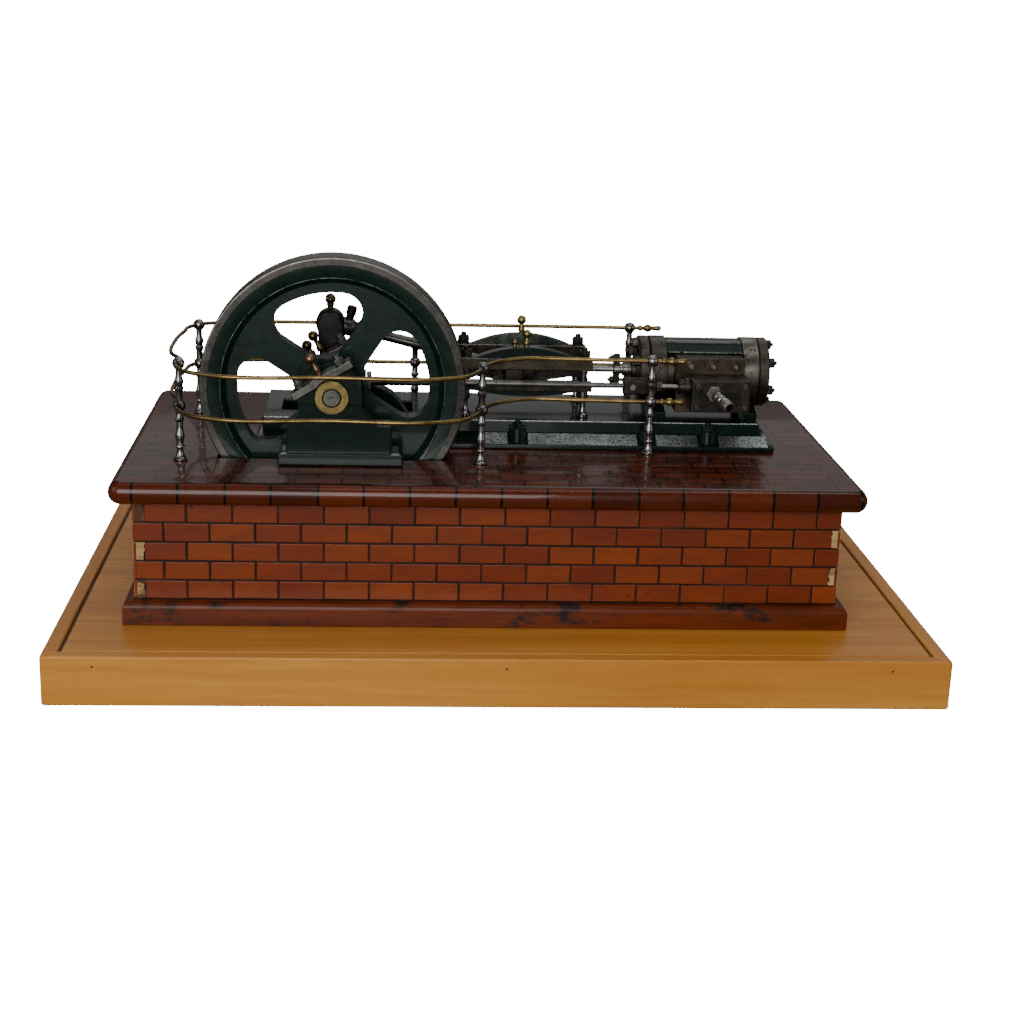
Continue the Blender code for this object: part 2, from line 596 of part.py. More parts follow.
def steam_chest():
    z = VALVE_Z
    chest = box("steam_chest", (CHEST_LEFT, COVER_BACK, CHEST_LOW),
                (CHEST_RIGHT, PORT_FACE - GAP, CHEST_HIGH), "iron")
    flange = box("chest_flange", (CHEST_LEFT - 0.0075, PORT_FACE - 0.005, CHEST_LOW - 0.0060),
                 (CHEST_RIGHT, PORT_FACE - GAP, CHEST_HIGH + 0.0110), "iron")
    join(chest, flange)
    wall = 0.0040
    cut(chest, box("chest_room", (CHEST_LEFT + wall, COVER_BACK - 0.01, CHEST_LOW + wall),
                   (CHEST_RIGHT - wall, PORT_FACE + 0.01, CHEST_HIGH - wall), "iron"))
    cut(chest, along_x("spindle_hole", CHEST_LEFT - 0.01, CHEST_LEFT + 0.01, 0.0016 + GAP, "iron", VALVE_Y,
                       z, 12))
    box("steam_chest_cover", (CHEST_LEFT, COVER_FRONT, CHEST_LOW),
        (CHEST_RIGHT, COVER_BACK - GAP, CHEST_HIGH), "iron")
    gland = along_x("valve_rod_gland", CHEST_LEFT - 0.0085, CHEST_LEFT - GAP, 0.0060, "iron", VALVE_Y, z,
                    20)
    cut(gland, along_x("gland_hole", CHEST_LEFT - 0.02, CHEST_LEFT + 0.01, 0.0016 + GAP, "iron", VALVE_Y,
                       z, 12))
    foot = Vector((0.1545, COVER_FRONT - GAP, 0.1815))
    lean = Vector((0.35, -0.90, -0.25)).normalized()
    inlet = cylinder("steam_inlet", foot + Vector((0, 0.0002, 0)), foot + Vector((0, -0.0055, 0)), 0.0062,
                     "iron", 6)
    join(inlet, cylinder("inlet_tube", foot + Vector((0, -0.003, 0)), foot + lean * 0.0240, 0.0040, "iron",
                         16))
    cut(inlet, cylinder("inlet_bore", foot + lean * 0.0100, foot + lean * 0.0300, 0.0022, "iron", 12))


def connecting_rod():
    start, end = Vector((PIN.x, ENGINE_Y, PIN.z)), Vector((CROSSHEAD_X, ENGINE_Y, AXIS_Z))
    along = (end - start).normalized()
    rod = cylinder("connecting_rod", start + along * 0.008, end - along * 0.004, 0.0032, "steel", 12,
                   0.0040)
    join(rod, along_y("big_end", PIN.x, PIN.z, BIG_FRONT, BIG_BACK, 0.0105, "steel", 24))
    join(rod, along_y("small_end", CROSSHEAD_X, AXIS_Z, ENGINE_Y - 0.0048, ENGINE_Y + 0.0048, 0.0065,
                      "steel", 20))
    cut(rod, along_y("big_end_bore", PIN.x, PIN.z, BIG_FRONT - 0.01, BIG_BACK + 0.01, 0.0050 + GAP,
                     "steel", 20))
    cut(rod, along_y("small_end_bore", CROSSHEAD_X, AXIS_Z, 0, 0.04, 0.0030 + GAP, "steel", 16))
    pin = along_y("crank_pin", PIN.x, PIN.z, WEB_BACK + GAP, BIG_BACK + 0.0028, 0.0050, "steel", 20)
    join(pin, along_y("pin_collar", PIN.x, PIN.z, BIG_BACK + GAP, BIG_BACK + 0.0030, 0.0070, "steel", 20))
    oil_cup("big_end_oil_cup", start + Vector((0, 0, 0.0105 + GAP)), (0, 0, 1), 0.0105, 0.0034)


def crosshead():
    half = GUIDE_OFFSET - GUIDE_HALF
    body = box("crosshead", (CROSSHEAD_X - 0.0065, ENGINE_Y - 0.0105, AXIS_Z - 0.0072),
               (CROSSHEAD_X + 0.0155, ENGINE_Y + 0.0105, AXIS_Z + 0.0072), "steel")
    cut(body, box("crosshead_slot", (CROSSHEAD_X - 0.03, ENGINE_Y - 0.0053, AXIS_Z - 0.02),
                  (CROSSHEAD_X + 0.0072, ENGINE_Y + 0.0053, AXIS_Z + 0.02), "steel"))
    for side in (-1, 1):
        ends = sorted((ENGINE_Y + side * 0.0095, ENGINE_Y + side * (half + 0.0095)))
        join(body, box(f"slipper_{side}", (CROSSHEAD_X - 0.0060, ends[0], AXIS_Z - GUIDE_SLOT + GAP),
                       (CROSSHEAD_X + 0.0060, ends[1], AXIS_Z + GUIDE_SLOT - GAP), "steel"))
    cut(body, along_y("gudgeon_bore", CROSSHEAD_X, AXIS_Z, ENGINE_Y - 0.0125, ENGINE_Y + 0.0125,
                      0.0030 + GAP,
                      "steel", 16))
    cut(body, along_x("piston_rod_socket", CROSSHEAD_X + 0.0095, CROSSHEAD_X + 0.03, 0.0024 + GAP, "steel",
                      sides=12))
    along_y("crosshead_pin", CROSSHEAD_X, AXIS_Z, ENGINE_Y - 0.0122, ENGINE_Y + 0.0122, 0.0030, "steel", 16)
    along_x("piston_rod", CROSSHEAD_X + 0.0098, PISTON_X + PISTON_HALF - 0.001, 0.0024, "steel", sides=12)
    piston = along_x("piston", PISTON_X - PISTON_HALF, PISTON_X + PISTON_HALF, CYLINDER_BORE - GAP, "iron",
                     sides=28)
    cut(piston, along_x("piston_bore", PISTON_X - 0.01, PISTON_X + 0.01, 0.0024 + GAP, "iron", sides=12))


def guides():
    """Two pairs of slide bars, each on a pair of turned pillars."""
    reach = (GUIDE_RIGHT - GUIDE_LEFT) / 2
    centre = ((GUIDE_LEFT + GUIDE_RIGHT) / 2, AXIS_Z)
    stud, hole = 0.0019, 0.0019 + GAP
    deep, bulge = 0.0080, 0.0085
    for bar, sign in (("upper", 1), ("lower", -1)):
        thick, swell = (deep, bulge) if sign > 0 else (0.0067, 0.0040)
        inner, outer = sign * GUIDE_SLOT, sign * (GUIDE_SLOT + thick)
        span, low_end = reach - 0.0115, outer - sign * 0.0002
        arch = [(span * t, outer + sign * swell * (1 - t * t)) for t in (1, 0.75, 0.4, 0, -0.4, -0.75, -1)]
        outline = [(-reach, inner), (reach, inner), (reach, low_end), *arch, (-reach, low_end)]
        for name, side in (("front", -1), ("back", 1)):
            y = ENGINE_Y + side * GUIDE_OFFSET
            made = plate(f"guide_{name}_{bar}", outline if sign > 0 else outline[::-1], y - GUIDE_HALF,
                         y + GUIDE_HALF, "green_enamel", centre)
            for x in PILLARS_X:
                cut(made, cylinder(f"guide_hole_{name}_{bar}_{x}", (x, y, 0.15), (x, y, 0.22), hole,
                                   "iron", 12))
    low, high = AXIS_Z - GUIDE_SLOT, AXIS_Z + GUIDE_SLOT
    foot = BED_TOP + GAP
    top = high + deep
    profile = [(0, 0.0042), (0.0020, 0.0042), (0.0035, 0.0026), (0.0120, 0.0021), (0.0150, 0.0034),
               (low - 0.0067 - GAP - foot, 0.0034), (low - 0.0067 - GAP - foot, stud),
               (low + GAP - foot, stud),
               (low + GAP - foot, 0.0032), (AXIS_Z - foot, 0.0024), (high - GAP - foot, 0.0032),
               (high - GAP - foot, stud), (top + GAP - foot, stud), (top + GAP - foot, 0.0043),
               (top + 0.0045 - foot, 0.0043), (top + 0.0070 - foot, 0.0022)]
    for name, side in (("front", -1), ("back", 1)):
        for end, x in zip(("left", "right"), PILLARS_X):
            place = (x, ENGINE_Y + side * GUIDE_OFFSET, foot)
            turned(f"guide_pillar_{name}_{end}", profile, place, (0, 0, 1), "steel", 12)


def steam_cylinder():
    left, right = CYLINDER_LEFT, CYLINDER_RIGHT
    barrel = along_x("cylinder", left + 0.002, right - 0.002, CYLINDER_BORE + 0.0045, sides=32)
    join(barrel, along_x("flange_left", left, left + 0.012, FLANGE_RADIUS, sides=40))
    join(barrel, along_x("flange_right", right - 0.012, right, FLANGE_RADIUS, sides=40))
    join(barrel, box("port_block", (CHEST_LEFT - 0.0075, PORT_FACE, CHEST_LOW - 0.0060),
                     (CHEST_RIGHT, ENGINE_Y - CYLINDER_BORE - 0.001, CHEST_HIGH + 0.0110), "iron"))
    cut(barrel, along_x("cylinder_bore", left - 0.02, right + 0.02, CYLINDER_BORE, sides=32))
    for i, x in enumerate((PORT_X - 0.0115, PORT_X, PORT_X + 0.0115)):
        cut(barrel, box(f"port_{i}", (x - 0.0013, PORT_FACE - 0.01, AXIS_Z - 0.006),
                        (x + 0.0013, ENGINE_Y - CYLINDER_BORE + 0.004, AXIS_Z + 0.003), "iron"))
    cladding = along_x("lagging", left + 0.012 + GAP, right - 0.012 - GAP, LAGGING_RADIUS, "green_enamel",
                       sides=40)
    cut(cladding, along_x("lagging_hole", left, right, LAGGING_RADIUS - 0.0012, "green_enamel", sides=40))
    cut(cladding, box("lagging_window", (left, -0.1, CHEST_LOW - 0.0100),
                      (right, ENGINE_Y - 0.002, CHEST_HIGH + 0.0118),
                      "iron"))
    front = along_x("front_cover", left - COVER, left - GAP, FLANGE_RADIUS, sides=40)
    spigot = along_x("front_spigot", left - 0.002, left + 0.0015, CYLINDER_BORE - GAP, sides=28)
    join(front, spigot, along_x("stuffing_box", left - 0.0165, left - 0.004, 0.0085, sides=20))
    cut(front, along_x("front_rod_hole", left - 0.03, left + 0.01, 0.0024 + GAP, sides=12))
    rear = along_x("rear_cover", right + GAP, right + COVER, FLANGE_RADIUS, sides=40)
    join(rear, along_x("rear_spigot", right - 0.0015, right + 0.002, CYLINDER_BORE - GAP, sides=28))
    gland = along_x("piston_rod_gland", left - 0.0255, left - 0.0165 - GAP, 0.0062, "iron", sides=20)
    ears = box("gland_ears", (left - 0.0225, ENGINE_Y - 0.0105, AXIS_Z - 0.0045),
               (left - 0.0165 - GAP, ENGINE_Y + 0.0105, AXIS_Z + 0.0045), "iron")
    join(gland, ears)
    cut(gland, along_x("gland_rod_hole", left - 0.04, left, 0.0024 + GAP, "iron", sides=12))


def axis(name, place, *pieces):
    """Hangs moving pieces on an empty at their joint's axis."""
    empty = bpy.data.objects.new(name, None)
    empty.location = place
    PARTS.objects.link(empty)
    for piece in pieces:
        obj = bpy.data.objects[piece]
        obj.parent = empty
        obj.location = obj.location - empty.location


clear_scene()
PARTS = collection("model_steam_engine")
TOOLS = collection("cutters")
display_base()
plinth()
railing()
bedplate()
outboard_bearing()
flywheel()
crank()
valve_gear()
steam_chest()
connecting_rod()
crosshead()
guides()
steam_cylinder()
axis("crank_axis", SHAFT, "crankshaft", "crank_web", "flywheel", "eccentric_sheave")
axis("eccentric_axis", SHEAVE, "eccentric_strap", "eccentric_rod")
axis("gudgeon_axis", (CROSSHEAD_X, ENGINE_Y, AXIS_Z), "connecting_rod", "crank_pin", "big_end_oil_cup")
axis("crosshead_axis", (CROSSHEAD_X, ENGINE_Y, AXIS_Z), "crosshead", "crosshead_pin", "piston_rod",
     "piston")
axis("valve_axis", (FORK_X, VALVE_Y, VALVE_Z), "valve_rod", "slide_valve")
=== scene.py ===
"""Looks of the model steam engine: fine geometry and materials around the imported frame. Metres, +Z up."""

import json
import math
import random

import bmesh
import bpy
from mathutils import Matrix, Vector


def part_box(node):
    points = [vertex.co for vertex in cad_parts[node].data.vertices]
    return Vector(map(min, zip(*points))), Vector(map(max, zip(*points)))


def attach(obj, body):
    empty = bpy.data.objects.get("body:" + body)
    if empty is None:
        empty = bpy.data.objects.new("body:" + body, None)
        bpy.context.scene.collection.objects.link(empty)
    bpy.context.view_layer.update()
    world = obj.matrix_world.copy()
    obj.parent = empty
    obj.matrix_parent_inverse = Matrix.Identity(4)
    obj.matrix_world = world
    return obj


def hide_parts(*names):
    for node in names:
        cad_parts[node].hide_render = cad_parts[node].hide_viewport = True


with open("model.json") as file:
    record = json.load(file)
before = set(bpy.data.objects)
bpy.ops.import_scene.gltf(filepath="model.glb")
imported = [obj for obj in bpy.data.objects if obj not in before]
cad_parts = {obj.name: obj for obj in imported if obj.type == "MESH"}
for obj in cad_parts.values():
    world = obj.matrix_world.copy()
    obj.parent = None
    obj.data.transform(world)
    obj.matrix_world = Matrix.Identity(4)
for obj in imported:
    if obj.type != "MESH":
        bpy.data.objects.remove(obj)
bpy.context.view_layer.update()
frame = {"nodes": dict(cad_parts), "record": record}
BODY_OF = {node: body for body, nodes in frame["record"]["behaviour"]["bodies"].items() for node in nodes}


def low(node):
    return Vector(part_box(node)[0])


def high(node):
    return Vector(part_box(node)[1])


def middle(node):
    return (low(node) + high(node)) / 2


GAP = 0.0003
X, Y, Z = Vector((1, 0, 0)), Vector((0, 1, 0)), Vector((0, 0, 1))
SHAFT = middle("crankshaft")
SHAFT_RADIUS = (high("crankshaft").z - low("crankshaft").z) / 2
PIN = middle("crank_pin")
GUDGEON = middle("crosshead_pin")
SHEAVE = middle("eccentric_sheave")
ENGINE_Y = GUDGEON.y
AXIS_Z = GUDGEON.z
SLAB_TOP = high("plinth_top").z
BED_TOP = low("guide_pillar_front_left").z - GAP
WHEEL_RADIUS = (high("flywheel").x - low("flywheel").x) / 2
CAP_TILT = math.radians(31.5)
BUSH_RADIUS = (high("main_bush").x - low("main_bush").x) / 2
FLANGE_RADIUS = high("rear_cover").y - ENGINE_Y
GUIDE_OFFSET = ENGINE_Y - middle("guide_front_upper").y
GUIDE_HALF = (high("guide_front_upper").y - low("guide_front_upper").y) / 2
GUIDE_SLOT = low("guide_front_upper").z - AXIS_Z
FOOT_OUT = 0.0045
APRON_FRONT, APRON_LOW, APRON_HIGH = -0.0375, 0.1395, 0.1458
FRONT_BOSS_Y = -0.0286
BED_FRONT, BED_BACK = low("main_bush").y - 0.0020, high("bedplate").y - 0.0070
PIT_LEFT, PIT_RIGHT, PIT_FRONT, PIT_BACK, PIT_FLOOR = -0.1555, -0.0600, -0.0003, 0.0345, 0.1385
BOSSES_X = (-0.120, 0.016, 0.110, 0.155)
BIG_FRONT, BIG_BACK = 0.0095, 0.0245
SPOKE_HALF, SPOKE_ANGLE = 0.0095, math.radians(57)
FORK = Vector((low("valve_rod").x + 0.0065, SHEAVE.y, middle("valve_rod").z))
PIN_MARKS = (-0.2665, 0.0023, 0.2595)
BRICK_LENGTH, COURSE, MORTAR = 0.0306, 0.0135, 0.0012
ROW_LINE, JOINT = 0.1052, 0.0358
RAIL_LEVELS = (0.1745, 0.204)
RAIL_RADIUS = 0.0015
POSTS = {
    "front_left": (-0.2203, -0.0790, 80),
    "front_middle": (-0.0130, -0.0785, 75),
    "front_right": (0.1095, -0.0440, 0),
    "back_left": (-0.2210, 0.0620, 50),
    "back_middle": (-0.0575, 0.0790, 2),
    "back_right": (0.1090, 0.0825, 0),
}  # place of each rail post, and the direction of its eyes in degrees from +X


# Geometry

def axes(foot, along):
    """A frame at a foot whose Z runs along a direction."""
    return Matrix.Translation(foot) @ Vector(along).to_track_quat("Z", "Y").to_matrix().to_4x4()


def facing(centre):
    """A frame for outlines drawn in X and Z, given their thickness along Y."""
    turn = Matrix(((1, 0, 0, 0), (0, 0, 1, 0), (0, 1, 0, 0), (0, 0, 0, 1)))
    return Matrix.Translation(centre) @ turn


def revolve(bm, profile, place, steps=48, closed=False):
    """Sweeps (height, radius) points round the frame's Z; a closed profile makes a ring."""
    rings = []
    for height, radius in profile:
        if radius < 1e-7:
            rings.append([bm.verts.new(place @ Vector((0, 0, height)))])
            continue
        turns = (math.tau * i / steps for i in range(steps))
        rings.append([bm.verts.new(place @ Vector((radius * math.cos(a), radius * math.sin(a), height)))
                      for a in turns])
    pairs = list(zip(rings, rings[1:])) + ([(rings[-1], rings[0])] if closed else [])
    for first, second in pairs:
        for i in range(steps):
            j = (i + 1) % steps
            corners = [first[i % len(first)], first[j % len(first)], second[j % len(second)], second[i % len(second)]]
            corners = list(dict.fromkeys(corners))
            if len(corners) > 2:
                bm.faces.new(corners)
    return bm


def turned(bm, profile, place, steps=48):
    """A solid of revolution from its foot up, closed at both ends."""
    return revolve(bm, [(profile[0][0], 0), *profile, (profile[-1][0], 0)], place, steps)


def rod(bm, start, end, radius, end_radius=None, steps=32, edge=0.0003):
    """A round bar with softened rims."""
    start, end = Vector(start), Vector(end)
    length = (end - start).length
    last = radius if end_radius is None else end_radius
    profile = [(0, radius - edge), (edge, radius), (length - edge, last), (length, last - edge)]
    return turned(bm, profile, axes(start, end - start), steps)


def prism(bm, outline, near, far, place):
    """An outline in the frame's X and Y, given its thickness from near to far along the frame's Z."""
    lower = [bm.verts.new(place @ Vector((x, y, near))) for x, y in outline]
    upper = [bm.verts.new(place @ Vector((x, y, far))) for x, y in outline]
    bm.faces.new(lower)
    bm.faces.new(upper)
    for i in range(len(outline)):
        j = (i + 1) % len(outline)
        bm.faces.new((lower[i], lower[j], upper[j], upper[i]))
    return bm


def block(bm, start, end):
    (x0, y0, z0), (x1, y1, z1) = start, end
    return prism(bm, [(x0, y0), (x1, y0), (x1, y1), (x0, y1)], z0, z1, Matrix.Identity(4))


def solid_between(bm, lower, upper):
    """A thin sheet between two sets of four corners, each given as near-left, near-right, far-left, far-right."""
    first, second = ([bm.verts.new(corners[i]) for i in (0, 1, 3, 2)] for corners in (lower, upper))
    bm.faces.new(first)
    bm.faces.new(second)
    for i in range(4):
        j = (i + 1) % 4
        bm.faces.new((first[i], first[j], second[j], second[i]))


def arc(centre, radius, start, end, steps=12):
    turns = (start + (end - start) * i / steps for i in range(steps + 1))
    return [(centre[0] + radius * math.cos(a), centre[1] + radius * math.sin(a)) for a in turns]


def nut(bm, foot, along, across=0.0052, height=0.0032, stud=0.0026, spin=0.0):
    """A chamfered hexagon nut with the domed end of its stud."""
    place = axes(foot, along) @ Matrix.Rotation(spin, 4, "Z")
    corner = across / math.sqrt(3)
    hexagon = [(corner * math.cos(math.tau * i / 6), corner * math.sin(math.tau * i / 6)) for i in range(6)]
    inner = [(x * 0.86, y * 0.86) for x, y in hexagon]
    levels = [(hexagon, -0.0002), (hexagon, height * 0.82), (inner, height)]
    rings = [[bm.verts.new(place @ Vector((x, y, z))) for x, y in shape] for shape, z in levels]
    bm.faces.new(rings[0])
    bm.faces.new(rings[-1])
    for first, second in zip(rings, rings[1:]):
        for i in range(6):
            j = (i + 1) % 6
            bm.faces.new((first[i], first[j], second[j], second[i]))
    end = height + stud * 0.45
    dome = [(height - 0.0006, stud / 2), (end, stud / 2), (end + stud * 0.14, stud * 0.36)]
    return turned(bm, dome, place, 16)


def ball(centre, radius, first, last, steps=12):
    """Profile points of a ball between two angles in degrees."""
    turns = (math.radians(first + (last - first) * i / steps) for i in range(steps + 1))
    return [(centre + radius * math.sin(a), radius * math.cos(a)) for a in turns]


def finish_mesh(bm, name, sharp=35):
    bmesh.ops.recalc_face_normals(bm, faces=bm.faces)
    mesh = bpy.data.meshes.new(name)
    bm.to_mesh(mesh)
    bm.free()
    mesh.shade_smooth()
    mesh.set_sharp_from_angle(angle=math.radians(sharp))
    return mesh


def piece(name, bm, finish, near, replaces=(), bevel=0.0, segments=2, sharp=35, cutters=()):
    """Makes an object from a mesh, cuts it, softens its edges, and rides it on the body of a CAD node."""
    obj = bpy.data.objects.new(name, finish_mesh(bm, name, sharp))
    bpy.context.scene.collection.objects.link(obj)
    for number, cutter in enumerate(cutters):
        carve(obj, cutter, f"{name}_cutter_{number}")
    obj.data.materials.clear()
    obj.data.materials.append(MATERIALS[finish])
    if bevel:
        edge = obj.modifiers.new("Edges", "BEVEL")
        edge.width = bevel
        edge.segments = segments
        edge.limit_method = "ANGLE"
        edge.angle_limit = math.radians(32)
        edge.harden_normals = True
    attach(obj, BODY_OF[near])
    if replaces:
        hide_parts(*replaces)
    return obj


def carve(obj, cutter, name):
    """Cuts a mesh out of an object, for good."""
    tool = bpy.data.objects.new(name, finish_mesh(cutter, name))
    bpy.context.scene.collection.objects.link(tool)
    step = obj.modifiers.new("Cut", "BOOLEAN")
    step.operation = "DIFFERENCE"
    step.solver = "EXACT"
    step.object = tool
    bpy.context.view_layer.update()
    graph = bpy.context.evaluated_depsgraph_get()
    mesh = bpy.data.meshes.new_from_object(obj.evaluated_get(graph))
    obj.modifiers.clear()
    obj.data = mesh
    bpy.data.objects.remove(tool)
    mesh.shade_smooth()
    mesh.set_sharp_from_angle(angle=math.radians(35))


# Materials

class Shader:
    """A Principled material built up one node at a time."""

    def __init__(self, name, colour, roughness, metallic=0.0, coat=0.0, coat_roughness=0.05):
        self.material = bpy.data.materials.new(name)
        self.material.use_nodes = True
        self.nodes = self.material.node_tree.nodes
        self.links = self.material.node_tree.links
        self.main = self.nodes["Principled BSDF"]
        self.main.inputs["Base Color"].default_value = (*colour, 1)
        self.main.inputs["Roughness"].default_value = roughness
        self.main.inputs["Metallic"].default_value = metallic
        self.main.inputs["Coat Weight"].default_value = coat
        self.main.inputs["Coat Roughness"].default_value = coat_roughness
        self.place = self.nodes.new("ShaderNodeTexCoord").outputs["Object"]

    def mapped(self, scale, place=None):
        node = self.nodes.new("ShaderNodeMapping")
        node.inputs["Scale"].default_value = scale
        self.links.new(place or self.place, node.inputs["Vector"])
        return node.outputs["Vector"]

    def noise(self, scale, detail=4.0, roughness=0.55, stretch=(1, 1, 1), distortion=0.0):
        node = self.nodes.new("ShaderNodeTexNoise")
        node.inputs["Scale"].default_value = scale
        node.inputs["Detail"].default_value = detail
        node.inputs["Roughness"].default_value = roughness
        node.inputs["Distortion"].default_value = distortion
        self.links.new(self.mapped(stretch), node.inputs["Vector"])
        return node.outputs["Fac"]

    def ramp(self, value, *stops):
        """Colours or greys at positions along a value."""
        node = self.nodes.new("ShaderNodeValToRGB")
        while len(node.color_ramp.elements) < len(stops):
            node.color_ramp.elements.new(0.5)
        for element, (position, colour) in zip(node.color_ramp.elements, stops):
            element.position = position
            grey = not isinstance(colour, tuple)
            element.color = (colour, colour, colour, 1) if grey else (*colour, 1)
        self.links.new(value, node.inputs["Fac"])
        return node.outputs["Color"]

    def mix(self, factor, first, second, blend="MIX"):
        node = self.nodes.new("ShaderNodeMix")
        node.data_type = "RGBA"
        node.blend_type = blend
        for socket, value in ((node.inputs[0], factor), (node.inputs[6], first), (node.inputs[7], second)):
            if isinstance(value, (int, float)):
                socket.default_value = value
            elif isinstance(value, tuple):
                socket.default_value = (*value, 1)
            else:
                self.links.new(value, socket)
        return node.outputs[2]

    def bump(self, height, strength, distance):
        node = self.nodes.new("ShaderNodeBump")
        node.inputs["Strength"].default_value = strength
        node.inputs["Distance"].default_value = distance
        self.links.new(height, node.inputs["Height"])
        previous = self.main.inputs["Normal"]
        if previous.is_linked:
            self.links.new(previous.links[0].from_socket, node.inputs["Normal"])
        self.links.new(node.outputs["Normal"], self.main.inputs["Normal"])

    def colour(self, value):
        self.links.new(value, self.main.inputs["Base Color"])

    def rough(self, value):
        self.links.new(value, self.main.inputs["Roughness"])

    def island(self):
        return self.nodes.new("ShaderNodeNewGeometry").outputs["Random Per Island"]


def pine(name, along):
    """Honey-coloured pine with its grain along an axis."""
    stretch = tuple(0.06 if axis == along else 1.0 for axis in range(3))
    wood = Shader(name, (0.5, 0.25, 0.08), 0.32, coat=0.2, coat_roughness=0.12)
    wood.main.inputs["Specular IOR Level"].default_value = 0.3
    grain = wood.noise(240, 6, 0.6, stretch, 0.4)
    broad = wood.noise(38, 3, 0.5, stretch, 1.2)
    board = wood.ramp(wood.island(), (0.0, (0.66, 0.26, 0.036)), (1.0, (0.74, 0.32, 0.052)))
    streak = wood.ramp(broad, (0.30, (0.58, 0.21, 0.026)), (0.66, (0.82, 0.38, 0.070)))
    tone = wood.mix(0.55, board, streak)
    fine = wood.ramp(grain, (0.30, (0.74, 0.62, 0.48)), (0.60, (1.0, 1.0, 1.0)))
    wood.colour(wood.mix(0.40, tone, fine, "MULTIPLY"))
    wood.rough(wood.ramp(grain, (0.2, 0.42), (0.8, 0.28)))
    wood.bump(grain, 0.12, 0.0003)
    return wood.material


def brick(name, worn=0.0):
    """Painted bricks under varnish: each tile has its own tone, with brush streaks and scuffs."""
    paint = Shader(name, (0.3, 0.07, 0.02), 0.3, coat=0.4, coat_roughness=0.10)
    paint.main.inputs["Specular IOR Level"].default_value = 0.3
    each = paint.ramp(paint.island(), (0.0, (0.185, 0.028, 0.006)), (0.35, (0.220, 0.038, 0.008)),
                      (0.7, (0.275, 0.055, 0.009)), (1.0, (0.200, 0.032, 0.007)))
    streaks = paint.noise(120, 5, 0.65, (0.25, 0.25, 1.0), 0.6)
    tone = paint.mix(0.55, each, paint.ramp(streaks, (0.30, (0.45, 0.38, 0.36)), (0.68, (1.15, 1.05, 1.0))), "MULTIPLY")
    scuffs = paint.noise(210, 7, 0.7)
    spots = paint.ramp(scuffs, (0.655 - 0.10 * worn, 0.0), (0.70 - 0.08 * worn, 1.0))
    paint.colour(paint.mix(spots, tone, (0.018, 0.010, 0.008)))
    paint.rough(paint.ramp(streaks, (0.2, 0.46), (0.8, 0.26)))
    paint.bump(streaks, 0.25, 0.0004)
    paint.bump(scuffs, 0.12, 0.0003)
    return paint.material


def courses(name):
    """Varnished board painted with lines like brick courses, on its top and its edge."""
    wood = Shader(name, (0.2, 0.05, 0.02), 0.26, coat=0.40, coat_roughness=0.05)
    wood.main.inputs["Specular IOR Level"].default_value = 0.2
    split = wood.nodes.new("ShaderNodeSeparateXYZ")
    wood.links.new(wood.place, split.inputs[0])
    flat = wood.nodes.new("ShaderNodeCombineXYZ")
    wood.links.new(split.outputs["X"], flat.inputs["X"])
    wood.links.new(split.outputs["Y"], flat.inputs["Y"])
    tile = wood.nodes.new("ShaderNodeTexBrick")
    tile.offset = 0.5
    tile.inputs["Scale"].default_value = 1.0
    tile.inputs["Brick Width"].default_value = BRICK_LENGTH
    tile.inputs["Row Height"].default_value = COURSE
    tile.inputs["Mortar Size"].default_value = 0.0010
    tile.inputs["Mortar Smooth"].default_value = 0.15
    tile.inputs["Color1"].default_value = (0.062, 0.010, 0.0035, 1)
    tile.inputs["Color2"].default_value = (0.135, 0.023, 0.005, 1)
    tile.inputs["Mortar"].default_value = (0.004, 0.002, 0.002, 1)
    wobble = wood.noise(30, 3, 0.5)
    shift = wood.nodes.new("ShaderNodeVectorMath")
    shift.operation = "MULTIPLY_ADD"
    wood.links.new(wobble, shift.inputs[0])
    shift.inputs[1].default_value = (0.0022, 0.0022, 0)
    wood.links.new(flat.outputs[0], shift.inputs[2])
    wood.links.new(shift.outputs[0], tile.inputs["Vector"])
    streaks = wood.noise(60, 6, 0.65, (0.18, 1, 1), 0.8)
    tone = wood.mix(0.30, tile.outputs["Color"],
                    wood.ramp(streaks, (0.30, (0.35, 0.30, 0.30)), (0.70, (1.2, 1.1, 1.0))), "MULTIPLY")
    wear = wood.noise(95, 7, 0.7)
    wood.colour(wood.mix(wood.ramp(wear, (0.64, 0.0), (0.70, 1.0)), tone, (0.02, 0.010, 0.008)))
    wood.rough(wood.ramp(wear, (0.3, 0.20), (0.8, 0.42)))
    wood.bump(tile.outputs["Fac"], -0.8, 0.0006)
    wood.bump(streaks, 0.22, 0.0005)
    return wood.material


def plain_wood(name, light, dark, patch, patches=0.6):
    """Stained timber with patches where its finish has worn or gone black."""
    wood = Shader(name, light, 0.36, coat=0.12, coat_roughness=0.10)
    wood.main.inputs["Specular IOR Level"].default_value = 0.2
    grain = wood.noise(120, 6, 0.6, (0.10, 0.10, 1), 0.6)
    tone = wood.ramp(grain, (0.30, dark), (0.65, light))
    blots = wood.noise(42, 6, 0.7, (0.45, 0.45, 1))
    wood.colour(wood.mix(wood.ramp(blots, (patches - 0.03, 0.0), (patches + 0.05, 1.0)), tone, patch))
    wood.rough(wood.ramp(blots, (0.3, 0.28), (0.7, 0.5)))
    wood.bump(grain, 0.25, 0.0004)
    return wood.material


